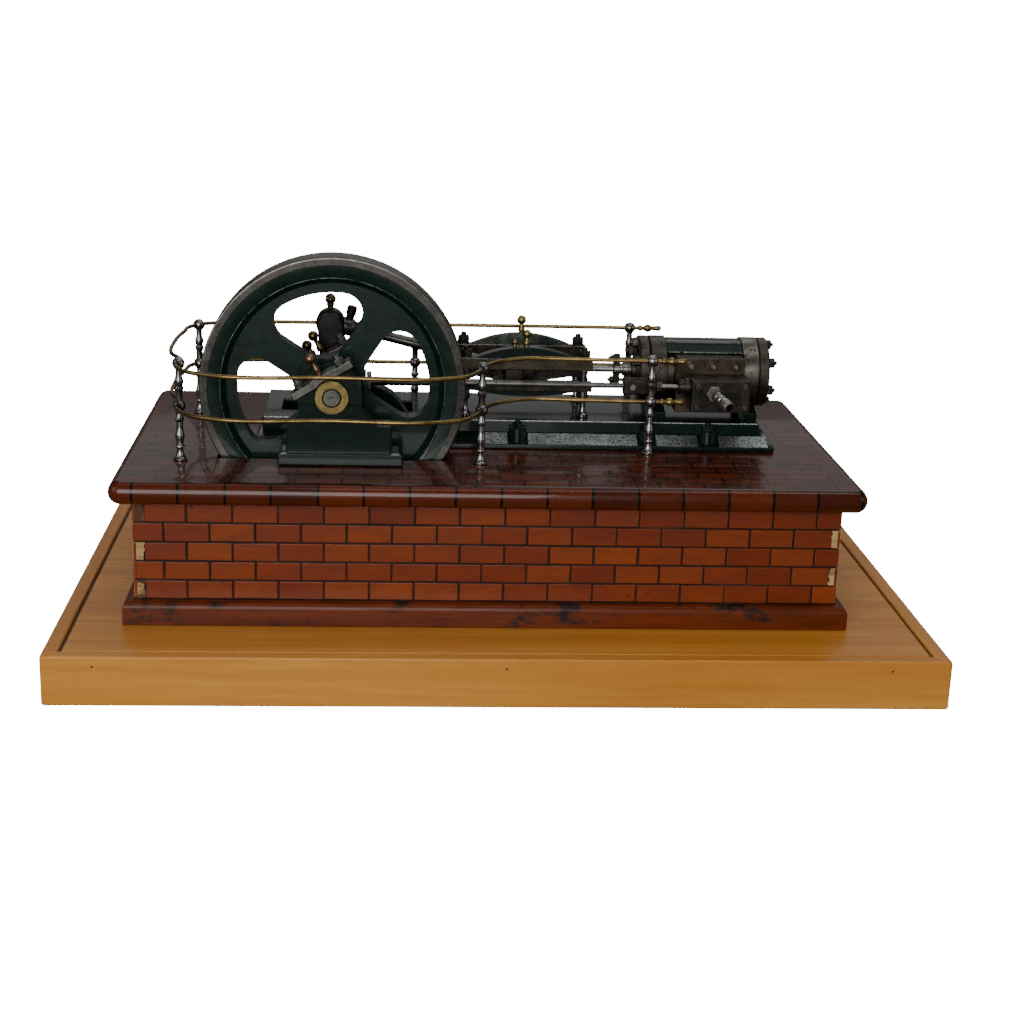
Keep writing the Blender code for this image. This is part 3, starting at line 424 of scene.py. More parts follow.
def enamel(name, colour, roughness=0.16):
    """Dark gloss paint on a casting: brushed ripple, dust, and small chips."""
    paint = Shader(name, colour, roughness, coat=0.30, coat_roughness=0.04)
    paint.main.inputs["Specular IOR Level"].default_value = 0.22
    ripple = paint.noise(130, 4, 0.5)
    grit = paint.noise(620, 6, 0.65)
    tone = paint.ramp(ripple, (0.3, tuple(c * 0.65 for c in colour)), (0.7, tuple(c * 1.35 for c in colour)))
    chips = paint.ramp(grit, (0.71, 0.0), (0.75, 1.0))
    paint.colour(paint.mix(chips, tone, (0.06, 0.058, 0.048)))
    paint.rough(paint.ramp(grit, (0.2, roughness), (0.8, roughness + 0.16)))
    paint.bump(ripple, 0.16, 0.0005)
    paint.bump(grit, 0.04, 0.0001)
    return paint.material


def metal(name, bright, dull, roughness, stretch=(1, 1, 1), tarnish=0.62, grain=320):
    """Machined metal with tool marks, tarnish and darker spots."""
    stock = Shader(name, bright, roughness, metallic=1.0)
    marks = stock.noise(900, 3, 0.5, stretch)
    cloud = stock.noise(85, 5, 0.6)
    spots = stock.noise(grain, 6, 0.7)
    tone = stock.ramp(cloud, (0.34, dull), (0.66, bright))
    dark = tuple(c * 0.34 for c in dull)
    stock.colour(stock.mix(stock.ramp(spots, (tarnish, 0.0), (tarnish + 0.10, 1.0)), tone, dark))
    stock.rough(stock.ramp(spots, (0.3, roughness), (0.75, roughness + 0.28)))
    stock.bump(marks, 0.06, 0.0002)
    return stock.material


MATERIALS = {
    "pine_long": pine("pine_long", 0),
    "pine_cross": pine("pine_cross", 1),
    "brick": brick("brick"),
    "mortar": plain_wood("mortar", (0.030, 0.017, 0.012), (0.014, 0.008, 0.007), (0.05, 0.028, 0.018)),
    "bare_wood": plain_wood("bare_wood", (0.62, 0.44, 0.20), (0.40, 0.25, 0.10), (0.10, 0.045, 0.02), 0.50),
    "board": courses("board"),
    "skirting": plain_wood("skirting", (0.165, 0.028, 0.003), (0.075, 0.012, 0.002), (0.016, 0.009, 0.008), 0.57),
    "pin_mark": plain_wood("pin_mark", (0.10, 0.05, 0.02), (0.06, 0.03, 0.012), (0.03, 0.015, 0.01)),
    "green": enamel("green", (0.0024, 0.0120, 0.0085)),
    # glint: bright metal colour that paints the speckled reflection of the lamps on the bed's sloped flange and along
    # its front top edge
    "glint": metal("glint", (0.80, 0.84, 0.82), (0.46, 0.50, 0.49), 0.36, tarnish=0.49, grain=720),
    "black_iron": metal("black_iron", (0.032, 0.030, 0.027), (0.015, 0.014, 0.013), 0.24, tarnish=0.60),
    "wheel_green": enamel("wheel_green", (0.0026, 0.0150, 0.0092), 0.22),
    "rim_steel": metal("rim_steel", (0.105, 0.098, 0.086), (0.066, 0.061, 0.053), 0.20, tarnish=0.60),
    "tread_steel": metal("tread_steel", (0.165, 0.157, 0.140), (0.105, 0.098, 0.086), 0.24, tarnish=0.60),
    # wear_and_highlight_edge: bright rubbed metal for thin beads on casting edges, partly real wear and partly a
    # painted highlight where the edges glint
    "wear_and_highlight_edge": metal("wear_and_highlight_edge", (0.34, 0.36, 0.31), (0.03, 0.05, 0.035), 0.35, tarnish=0.52),
    "rod_steel": metal("rod_steel", (0.20, 0.19, 0.175), (0.09, 0.085, 0.08), 0.24, tarnish=0.60),
    "dark_iron": metal("dark_iron", (0.075, 0.068, 0.059), (0.030, 0.028, 0.024), 0.26, tarnish=0.58),
    "chest_brown": metal("chest_brown", (0.115, 0.088, 0.062), (0.052, 0.040, 0.029), 0.30, tarnish=0.56),
    "post_steel": metal("post_steel", (0.40, 0.39, 0.37), (0.17, 0.166, 0.155), 0.12, tarnish=0.60),
    "rail_brass": metal("rail_brass", (0.40, 0.275, 0.10), (0.19, 0.13, 0.052), 0.24, tarnish=0.60),
    "copper": metal("copper", (0.42, 0.23, 0.13), (0.21, 0.115, 0.065), 0.22, tarnish=0.62),
    "steel": metal("steel", (0.42, 0.405, 0.375), (0.24, 0.23, 0.205), 0.20),
    "worn_steel": metal("worn_steel", (0.29, 0.275, 0.245), (0.14, 0.13, 0.113), 0.27, tarnish=0.56),
    "iron": metal("iron", (0.125, 0.112, 0.092), (0.055, 0.050, 0.041), 0.32, tarnish=0.58),
    "bronze": metal("bronze", (0.26, 0.185, 0.125), (0.12, 0.085, 0.06), 0.32, tarnish=0.58),
    "flange_steel": metal("flange_steel", (0.26, 0.24, 0.20), (0.085, 0.078, 0.062), 0.26, (1, 0.2, 0.2), tarnish=0.56),
    "cap_steel": metal("cap_steel", (0.20, 0.195, 0.175), (0.105, 0.10, 0.088), 0.26, tarnish=0.60),
    "bar_steel": metal("bar_steel", (0.125, 0.108, 0.074), (0.060, 0.051, 0.035), 0.20, (0.08, 1, 1), tarnish=0.60),
    # painted_highlight_green: a lighter, metallic copy of the green enamel for the back arches only, a painted
    # highlight
    "painted_highlight_green": metal("painted_highlight_green", (0.13, 0.145, 0.12), (0.018, 0.030, 0.022), 0.34, tarnish=0.54),
    "nut_brown": metal("nut_brown", (0.15, 0.125, 0.10), (0.06, 0.05, 0.04), 0.26, tarnish=0.60),
    "brass": metal("brass", (0.40, 0.30, 0.105), (0.22, 0.165, 0.06), 0.22, tarnish=0.64),
    "dark_brass": metal("dark_brass", (0.17, 0.122, 0.055), (0.075, 0.054, 0.026), 0.18, tarnish=0.60),
}


# Base and plinth

def tiers(bm, levels):
    """A stack of outlines with the same number of points, closed at both ends."""
    rings = [[bm.verts.new((x, y, z)) for x, y in outline] for outline, z in levels]
    bm.faces.new(rings[0])
    bm.faces.new(rings[-1])
    for lower, upper in zip(rings, rings[1:]):
        for i in range(len(lower)):
            j = (i + 1) % len(lower)
            bm.faces.new((lower[i], lower[j], upper[j], upper[i]))
    return bm


def rectangle(left, right, front, back, out=0.0):
    return [(left - out, front - out), (right + out, front - out), (right + out, back + out), (left - out, back + out)]


def rounded(left, right, front, back, radius, inset=0.0, steps=6):
    """A rectangle with round corners, drawn in by an inset."""
    quarter = math.pi / 2
    corners = ((right - radius, back - radius), (left + radius, back - radius), (left + radius, front + radius),
               (right - radius, front + radius))
    return [point for i, corner in enumerate(corners)
            for point in arc(corner, radius - inset, i * quarter, (i + 1) * quarter, steps)]


def ring_of_boards(bm, profile, left, right, front, back):
    """Four mitred boards round a rectangle, from a closed profile of (distance out, height) points."""
    rings = [[bm.verts.new((x, y, z)) for x, y in rectangle(left, right, front, back, out)] for out, z in profile]
    for lower, upper in zip(rings, [*rings[1:], rings[0]]):
        for i in range(4):
            j = (i + 1) % 4
            bm.faces.new((lower[i], lower[j], upper[j], upper[i]))
    return bm


def display_base():
    half_x, half_y, top = high("base_edging")
    width = high("base_edging").x - high("base_panel").x
    groove, depth = 0.0022, 0.0020
    long_boards, cross_boards = bmesh.new(), bmesh.new()
    flat = Matrix.Identity(4)
    for side in (-1, 1):
        x, y = side * half_x, side * half_y
        in_x, in_y = side * (half_x - width), side * (half_y - width)
        prism(long_boards, [(-half_x, y), (half_x, y), (half_x - width, in_y), (width - half_x, in_y)], 0, top, flat)
        prism(cross_boards, [(x, -half_y), (x, half_y), (in_x, half_y - width), (in_x, width - half_y)], 0, top, flat)
    piece("base_long_edges", long_boards, "pine_long", "base_edging", ["base_edging"], bevel=0.0014, segments=3)
    piece("base_end_edges", cross_boards, "pine_cross", "base_edging", bevel=0.0014, segments=3)
    end_x, end_y = half_x - width - GAP, half_y - width - GAP
    core = block(bmesh.new(), (-end_x, -end_y, 0), (end_x, end_y, top - depth))
    piece("base_groove", core, "pin_mark", "base_panel")
    planks = bmesh.new()
    edges = [-end_y + GAP, -0.118, -0.039, 0.040, 0.119, end_y - GAP]
    for front, back in zip(edges, edges[1:]):
        block(planks, (groove - end_x, front + 0.00012, 0.0005), (end_x - groove, back - 0.00012, top))
    piece("base_planks", planks, "pine_long", "base_panel", ["base_panel"], bevel=0.0005)
    pins = bmesh.new()
    for x in PIN_MARKS:
        rod(pins, (x, -half_y - 0.00001, top * 0.80), (x, -half_y + 0.002, top * 0.80), 0.0011, steps=20)
    piece("base_pins", pins, "pin_mark", "base_edging")


def wall(name, panel, start, along, outward, length, patches):
    """Painted bricks on one side of the plinth, on a mortar-coloured board."""
    lay = random.Random(name)
    out, depth = Vector((*outward, 0)), 0.0009
    board = block(bmesh.new(), low(panel), high(panel))
    for vert in board.verts:
        if (vert.co - Vector(start)).dot(out) > -0.0001:
            vert.co -= out * depth
        reach = (vert.co - Vector(start)).dot(Vector((*along, 0)))
        if reach < 0.0001 or reach > length - 0.0001:
            vert.co += Vector((*along, 0)) * math.copysign(depth, length / 2 - reach)
    piece(f"{name}_mortar", board, "mortar", panel, [panel])
    place = Matrix((( along[0], 0, outward[0], start[0]), (along[1], 0, outward[1], start[1]),
                    (0, 1, 0, 0), (0, 0, 0, 1)))
    bricks, bare = bmesh.new(), bmesh.new()
    top = ROW_LINE + COURSE
    for row in range(5):
        z1 = top - row * COURSE - MORTAR / 2
        z0 = z1 - COURSE + MORTAR
        x = JOINT - (BRICK_LENGTH / 2 if row % 2 else 0) - BRICK_LENGTH
        left, right = patches[row]
        while x < length:
            x0, x1 = max(x + MORTAR / 2, left), min(x + BRICK_LENGTH - MORTAR / 2, length - right)
            if x1 - x0 > 0.003:
                shift = [lay.uniform(-0.00022, 0.00022) for _ in range(8)]
                outline = [(x0 + shift[0], z0 + shift[1]), (x1 + shift[2], z0 + shift[3]),
                           (x1 + shift[4], z1 + shift[5]), (x0 + shift[6], z1 + shift[7])]
                outline = [(min(max(a, left), length - right), b) for a, b in outline]
                prism(bricks, outline, -0.0022, -0.0002 + lay.uniform(0, 0.0002), place)
            x += BRICK_LENGTH
        for edge, width, side in ((0, left, 1), (length, right, -1)):
            if width:
                steps = 14
                rag = [(edge + side * (width - 0.0003 + lay.uniform(-0.0012, 0.0007)), z0 + (z1 - z0) * i / steps)
                       for i in range(steps + 1)]
                outline = [(edge, z1), (edge, z0), *rag]
                prism(bare, outline, -0.0022, -0.0003, place)
    piece(f"{name}_bricks", bricks, "brick", panel, bevel=0.0005)
    if bare.verts:
        piece(f"{name}_bare_corners", bare, "bare_wood", panel)
    else:
        bare.free()


def plinth():
    left, right = low("plinth_front_panel").x, high("plinth_front_panel").x
    front, back = low("plinth_front_panel").y, high("plinth_back_panel").y
    none, first, second = (0, 0), (0.0080, 0), (0, 0.0062)
    worn = [first, second, first, second, first]
    wall("plinth_front", "plinth_front_panel", (left, front, 0), (1, 0), (0, -1), right - left, worn)
    wall("plinth_back", "plinth_back_panel", (right, back, 0), (-1, 0), (0, 1), right - left, [none] * 5)
    wall("plinth_left", "plinth_left_panel", (left, back, 0), (0, -1), (-1, 0), back - front, [none] * 5)
    wall("plinth_right", "plinth_right_panel", (right, front, 0), (0, 1), (1, 0), back - front, [none] * 5)
    foot, top = low("plinth_skirting").z, high("plinth_skirting").z
    out = left - low("plinth_skirting").x
    profile = [(GAP, foot), (out, foot), (out, top - 0.0052), (out - 0.0004, top - 0.0032), (out - 0.0017, top - 0.0014),
               (out - 0.0034, top - 0.0004), (out - 0.0050, top), (GAP, top)]
    boards = ring_of_boards(bmesh.new(), profile, left, right, front, back)
    piece("plinth_skirting_boards", boards, "skirting", "plinth_skirting", ["plinth_skirting"], bevel=0.0003, sharp=40)
    slab = bmesh.new()
    start, end = low("plinth_top"), high("plinth_top")
    half, round_in = (end.z - start.z) / 2, 0.0070
    sides = (start.x, end.x, start.y, end.y)
    turns = [math.radians(-90 + 15 * i) for i in range(13)]
    tiers(slab, [(rounded(*sides, 0.0085, round_in * (1 - math.cos(a))), start.z + half + half * math.sin(a))
                 for a in turns])
    slot = bmesh.new()
    reach = high("flywheel").x - SHAFT.x - 0.012
    gap_y = 0.0042
    wheel = (low("flywheel").y, high("flywheel").y)
    block(slot, (SHAFT.x - reach, wheel[0] - gap_y, 0), (SHAFT.x + reach, wheel[1] + gap_y, 1))
    piece("plinth_slab", slab, "board", "plinth_top", ["plinth_top"], cutters=[slot])


# Bed and bearings

def tilted(along, up):
    """A point about the shaft in the tilted frame of a bearing cap."""
    c, s = math.cos(CAP_TILT), math.sin(CAP_TILT)
    return (along * c - up * s, along * s + up * c)


def seat_outline(foot, foot_half):
    housing = 0.0205
    outline = [(-foot_half, foot), (foot_half, foot), (housing + 0.0006, foot + 0.012)]
    outline += arc((0, 0), housing, math.radians(-12), math.radians(50), 10)
    return outline + [tilted(0.0185, 0.0099), tilted(-0.0205, 0.0099), (-0.0225, foot + 0.010)]


def bolt_row(bm, places, along, **size):
    for number, place in enumerate(places):
        nut(bm, place, along, spin=0.4 * number, **size)
    return bm


def oil_cup(name, foot, along, height, radius, near, finish="dark_brass", replaces=()):
    """A ball-topped oil cup on a waisted stem with a collar."""
    stem = [(0, 0.55), (0.14, 0.55), (0.18, 0.72), (0.26, 0.76), (0.32, 0.70), (0.40, 0.50), (0.55, 0.42)]
    profile = [(h * height, r * radius) for h, r in stem] + ball(height - radius, radius, -58, 66, 14)
    profile += [(height - 0.05 * radius, 0.34 * radius), (height, 0.30 * radius)]
    return piece(name, turned(bmesh.new(), profile, axes(foot, along), 40), finish, near, replaces, sharp=30)


def bedplate():
    start, end = low("bedplate"), high("bedplate")
    left, right = start.x + FOOT_OUT, end.x - 2 * FOOT_OUT
    front, back = BED_FRONT, BED_BACK
    bed = block(bmesh.new(), (left, front, start.z + 0.001), (right, back, BED_TOP))
    pit = block(bmesh.new(), (PIT_LEFT, PIT_FRONT, PIT_FLOOR), (PIT_RIGHT, PIT_BACK, 1))
    piece("bed_casting", bed, "green", "bedplate", ["bedplate"], bevel=0.0012, segments=3, cutters=[pit])
    foot, pit = bmesh.new(), block(bmesh.new(), (PIT_LEFT, PIT_FRONT, PIT_FLOOR), (PIT_RIGHT, PIT_BACK, 1))
    first, last = left - FOOT_OUT, right + 2 * FOOT_OUT
    tiers(foot, [(rectangle(first, last, APRON_FRONT, back + FOOT_OUT), start.z),
                 (rectangle(first, last, APRON_FRONT, back + FOOT_OUT), APRON_LOW),
                 (rectangle(left - 0.0012, right + 0.0060, front - 0.0004, back + 0.0012), APRON_HIGH)])
    piece("bed_flange", foot, "green", "bedplate", bevel=0.0007, segments=2, cutters=[pit])
    # Thin bright sheets on the sloped flange between the bosses: a painted reflection, the speckled sheen of the lamps
    # on the rough paint
    sheen, slope = bmesh.new(), (APRON_HIGH - APRON_LOW) / (front - 0.0004 - APRON_FRONT)
    for begin, stop in ((-0.012, 0.0085), (0.0235, 0.1030), (0.1170, 0.1475), (0.1630, 0.1985)):
        near, far = APRON_FRONT + 0.0008, front - 0.0016
        ends = [(y, APRON_LOW + (y - APRON_FRONT) * slope) for y in (near, far)]
        corners = [Vector((x, y, z)) for y, z in ends for x in (begin, stop)]
        lifted = [corner + Vector((0, -0.0001, 0.0002)) for corner in corners]
        sunk = [corner - Vector((0, -0.0001, 0.0006)) for corner in corners]
        solid_between(sheen, sunk, lifted)
    piece("bed_sheen", sheen, "glint", "bedplate")
    # A thin bright bar along the bed's front top edge: a painted highlight
    edges = bmesh.new()
    rod(edges, (left + 0.001, front + 0.0003, BED_TOP - 0.0003), (right - 0.001, front + 0.0003, BED_TOP - 0.0003),
        0.00045, steps=12)
    piece("bed_edge_highlight", edges, "glint", "bedplate")
    flank = [(0.0180, -0.0325), (0.0530, -0.0325), (0.0530, -0.0300), (0.0470, -0.0205), (0.0415, -0.0140),
             (0.0330, -0.0090), (0.0235, -0.0052), (0.0180, -0.0052)]
    gusset = prism(bmesh.new(), flank, low("main_bush").y + 0.001, high("main_bush").y - 0.001,
                   facing((SHAFT.x, 0, AXIS_Z)))
    piece("main_flank", gusset, "green", "bedplate", bevel=0.0008, segments=3)
    bosses, nuts = bmesh.new(), bmesh.new()
    for number, x in enumerate(BOSSES_X):
        for y in (FRONT_BOSS_Y, back + 0.0010):
            foot = Vector((x, y, start.z + 0.0004))
            turned(bosses, [(0, 0.0060), (0.0128, 0.0060), (0.0136, 0.0054)], axes(foot, Z), 40)
            nut(nuts, foot + Vector((0, 0, 0.0136)), Z, across=0.0068, height=0.0040, stud=0.0032, spin=0.5 * number)
    piece("bed_bosses", bosses, "green", "bedplate")
    piece("bed_nuts", nuts, "green", "bedplate", bevel=0.00012, segments=1)
    saddle = block(bmesh.new(), (low("cylinder").x + 0.001, ENGINE_Y - 0.016, BED_TOP - 0.004),
                   (low("cylinder").x + 0.010, ENGINE_Y + 0.016, low("cylinder").z + 0.006))
    seat = bmesh.new()
    rod(seat, (0.05, ENGINE_Y, AXIS_Z), (0.3, ENGINE_Y, AXIS_Z), FLANGE_RADIUS + GAP, steps=96, edge=0)
    piece("cylinder_saddle", saddle, "green", "bedplate", bevel=0.0008, cutters=[seat])
    feet = bmesh.new()
    for x in (low("cylinder").x + 0.006, high("cylinder").x - 0.006):
        for side in (-1, 1):
            outline = [(0, 0), (0.0135, 0), (0.0135, 0.0052), (0.0070, 0.0066), (0, 0.0105)]
            place = Matrix.Translation((x, ENGINE_Y, BED_TOP - 0.0004)) @ Matrix(
                ((0, 0, 1, 0), (side, 0, 0, 0), (0, 1, 0, 0), (0, 0, 0, 1))) @ Matrix.Translation((0.0145, 0, 0))
            prism(feet, outline, -0.0055, 0.0055, place)
    piece("cylinder_feet", feet, "green", "bedplate", bevel=0.0007)


def bearing(name, front, back, foot_z, foot_half, cap_node, bush_node, cup_node, cup_height, finish):
    """Seat, cap, bush, cap nuts and oil cup of one bearing."""
    outline = seat_outline(foot_z - AXIS_Z, foot_half)
    bore = bmesh.new()
    rod(bore, (SHAFT.x, front - 0.01, AXIS_Z), (SHAFT.x, back + 0.01, AXIS_Z), BUSH_RADIUS + GAP, steps=72, edge=0)
    seat = prism(bmesh.new(), outline, front, back, facing((SHAFT.x, 0, AXIS_Z)))
    near = "outboard_pedestal" if name == "outboard" else "bedplate"
    piece(f"{name}_housing", seat, "green", near, ["outboard_pedestal"] if name == "outboard" else [],
          bevel=0.0010, segments=3, cutters=[bore])
    half, under, over = 0.0235, 0.0102, 0.0157
    outline = [tilted(*p) for p in ((-half, under), (half, under), (half, over), (0.009, over), (0.007, over + 0.0006),
                                    (-0.007, over + 0.0006), (-0.009, over), (-half, over))]
    cap = prism(bmesh.new(), outline, front + 0.002, back - 0.002, facing((SHAFT.x, 0, AXIS_Z)))
    bore = bmesh.new()
    rod(bore, (SHAFT.x, front, AXIS_Z), (SHAFT.x, back, AXIS_Z), BUSH_RADIUS + GAP, steps=72, edge=0)
    piece(f"{name}_cap", cap, "cap_steel", cap_node, [cap_node], bevel=0.0006, cutters=[bore])
    start, end = low(bush_node).y, high(bush_node).y
    place = axes((SHAFT.x, start, AXIS_Z), Y)
    inner, outer, length, soft = SHAFT_RADIUS + GAP, BUSH_RADIUS, end - start, 0.0004
    sleeve = [(soft, inner), (0, inner + soft), (0, outer - soft), (soft, outer), (length, outer), (length, inner)]
    piece(f"{name}_sleeve", revolve(bmesh.new(), sleeve, place, 72, closed=True), "brass", bush_node, [bush_node])
    nuts = bmesh.new()
    up = Vector((*tilted(0, 1), 0)).xzy
    middle_y = (front + back) / 2
    for along in (-0.016, 0.016):
        x, z = tilted(along, over)
        turned(nuts, [(0, 0.0040), (0.0006, 0.0040)], axes((SHAFT.x + x, middle_y, AXIS_Z + z), up), 28)
        x, z = tilted(along, over + 0.0006)
        nut(nuts, (SHAFT.x + x, middle_y, AXIS_Z + z), up, across=0.0064, height=0.0034, stud=0.0052, spin=0.3)
    piece(f"{name}_cap_nuts", nuts, "cap_steel", near, bevel=0.00012, segments=1)
    x, z = tilted(0, over + 0.0006)
    oil_cup(f"{name}_cup", (SHAFT.x + x, middle_y, AXIS_Z + z), up, cup_height, 0.0034 if name == "outboard" else 0.0038, near, finish, [cup_node])


def bearings():
    front, back = low("outboard_bush").y + 0.002, high("outboard_bush").y
    bearing("outboard", front, back, 0.1625, 0.034, "outboard_bearing_cap", "outboard_bush", "outboard_oil_cup",
            0.0160, "copper")
    front, back = low("main_bush").y, high("main_bush").y
    bearing("main", front, back, BED_TOP - 0.003, 0.026, "main_bearing_cap", "main_bush", "main_oil_cup",
            0.0185, "dark_brass")
    foot = low("outboard_pedestal")
    far = high("outboard_pedestal")
    front, back = foot.y, far.y
    pedestal = bmesh.new()
    tiers(pedestal, [(rectangle(-0.1530, -0.0670, front + 0.0012, back), foot.z),
                     (rectangle(-0.1530, -0.0670, front + 0.0012, back), 0.1440),
                     (rectangle(-0.1500, -0.0700, front + 0.0020, back), 0.1470)])
    block(pedestal, (-0.1470, front + 0.0006, foot.z + 0.008), (-0.0750, back - 0.0001, 0.1660))
    piece("pedestal_block", pedestal, "green", "outboard_pedestal", bevel=0.0012, segments=3)


# Flywheel, crank and rods

def opening(half, inner, inner_fillet=0.020, outer_fillet=0.014):
    """Outline of one opening of the flywheel, between two spokes a quarter turn apart."""
    near, far = half + inner_fillet, half + outer_fillet
    along = math.sqrt((inner - outer_fillet) ** 2 - far**2)
    lean = math.atan2(far, along)
    right = math.pi / 2
    outline = arc((along, far), outer_fillet, -right, lean, 12)
    outline += arc((0, 0), inner, lean, right - lean, 24)[1:]
    outline += arc((far, along), outer_fillet, right - lean, math.pi, 12)[1:]
    return outline + arc((near, near), inner_fillet, math.pi, 1.5 * math.pi, 14)


def spun(outline, angle):
    c, s = math.cos(angle), math.sin(angle)
    return [(x * c - y * s, x * s + y * c) for x, y in outline]


def flywheel():
    start, end = low("flywheel").y, high("flywheel").y
    width = end - start
    rim, inner, recess_radius, recess, boss = WHEEL_RADIUS - 0.0053, 0.067, 0.0765, 0.0055, 0.020
    place = axes((SHAFT.x, start, AXIS_Z), Y)
    bore = SHAFT_RADIUS + GAP
    near = [(recess, 0.0215), (0.0012, boss), (0, boss - 0.0012), (0, bore)]
    far = [(width - h, r) for h, r in reversed(near)]
    profile = [(0.0006, rim), (0.0006, recess_radius + 0.0016), (0.0012, recess_radius + 0.0006),
               (recess - 0.0016, recess_radius - 0.0008), (recess, recess_radius - 0.0030), *near,
               *far, (width - recess, recess_radius - 0.0030), (width - recess + 0.0016, recess_radius - 0.0008),
               (width - 0.0012, recess_radius + 0.0006), (width - 0.0006, recess_radius + 0.0016),
               (width - 0.0006, rim)]
    openings = []
    for i in range(4):
        outline = spun(opening(SPOKE_HALF, inner), SPOKE_ANGLE + i * math.pi / 2)
        openings.append(prism(bmesh.new(), outline, start - 0.01, end + 0.01, facing((SHAFT.x, 0, AXIS_Z))))
    wheel = revolve(bmesh.new(), profile, place, 192, closed=True)
    piece("wheel_casting", wheel, "wheel_green", "flywheel", ["flywheel"], bevel=0.0024, segments=4, cutters=openings)
    shoulder = WHEEL_RADIUS - 0.0016
    face = [(0, rim - 0.0001), (0, shoulder + 0.0002), (0.0010, shoulder + 0.0002), (width - 0.0010, shoulder + 0.0002),
            (width, shoulder + 0.0002), (width, rim - 0.0001)]
    piece("wheel_rim", revolve(bmesh.new(), face, place, 256, closed=True), "rim_steel", "flywheel")
    tread = [(0.0001, shoulder), (0.0003, WHEEL_RADIUS - 0.0006), (0.0010, WHEEL_RADIUS), (width - 0.0010, WHEEL_RADIUS),
             (width - 0.0003, WHEEL_RADIUS - 0.0006), (width - 0.0001, shoulder)]
    piece("wheel_tread", revolve(bmesh.new(), tread, place, 256, closed=True), "tread_steel", "flywheel")
    # Bright beads round the edges of the rim's recess: partly real wear, partly a painted highlight
    worn = bmesh.new()
    for y in (0.00055, width - 0.00055):
        bead = [(y + 0.00035 * math.cos(a), recess_radius + 0.0011 + 0.00035 * math.sin(a))
                for a in (math.tau * i / 8 for i in range(8))]
        revolve(worn, bead, place, 192, closed=True)
    piece("wheel_ridges", worn, "wear_and_highlight_edge", "flywheel")
    lines = bmesh.new()
    for y in (0.0004, width - 0.0004):
        bead = [(y + 0.0003 * math.cos(a), rim + 0.0003 * math.sin(a)) for a in (math.tau * i / 8 for i in range(8))]
        revolve(lines, bead, place, 256, closed=True)
    piece("wheel_lines", lines, "worn_steel", "flywheel")


def crank():
    start, end = low("crankshaft").y, high("crankshaft").y
    length, r = end - start, SHAFT_RADIUS
    centre = [(0.0011, 0), (0.0, 0.0012), (0, r - 0.0005), (0.0005, r), (length - 0.0004, r), (length, r - 0.0004),
              (length, 0)]
    shaft = revolve(bmesh.new(), centre, axes((SHAFT.x, start, AXIS_Z), Y), 64)
    piece("shaft", shaft, "cap_steel", "crankshaft", ["crankshaft"])
    front, back = low("crank_web").y, high("crank_web").y
    angle = math.atan2(PIN.z - AXIS_Z, PIN.x - SHAFT.x) + math.pi / 2
    outline = arc((PIN.x - SHAFT.x, PIN.z - AXIS_Z), 0.0090, angle - math.pi, angle, 24)
    outline += arc((0, 0), 0.0110, angle, angle + math.pi, 28)
    web = prism(bmesh.new(), outline, front, back, facing((SHAFT.x, 0, AXIS_Z)))
    hole = bmesh.new()
    rod(hole, (SHAFT.x, front - 0.01, AXIS_Z), (SHAFT.x, back + 0.01, AXIS_Z), SHAFT_RADIUS + GAP, steps=64, edge=0)
    piece("web", web, "black_iron", "crank_web", ["crank_web"], bevel=0.0009, segments=3, cutters=[hole])
    start, end = low("eccentric_sheave").y, high("eccentric_sheave").y
    radius = (high("eccentric_sheave").x - low("eccentric_sheave").x) / 2
    profile = [(0, radius - 0.0003), (0.0003, radius), (end - start - 0.0003, radius), (end - start, radius - 0.0003)]
    disc = turned(bmesh.new(), profile, axes((SHEAVE.x, start, SHEAVE.z), Y), 72)
    hole = bmesh.new()
    rod(hole, (SHAFT.x, start - 0.01, AXIS_Z), (SHAFT.x, end + 0.01, AXIS_Z), SHAFT_RADIUS + GAP, steps=64, edge=0)
    piece("sheave", disc, "worn_steel", "eccentric_sheave", ["eccentric_sheave"], cutters=[hole])


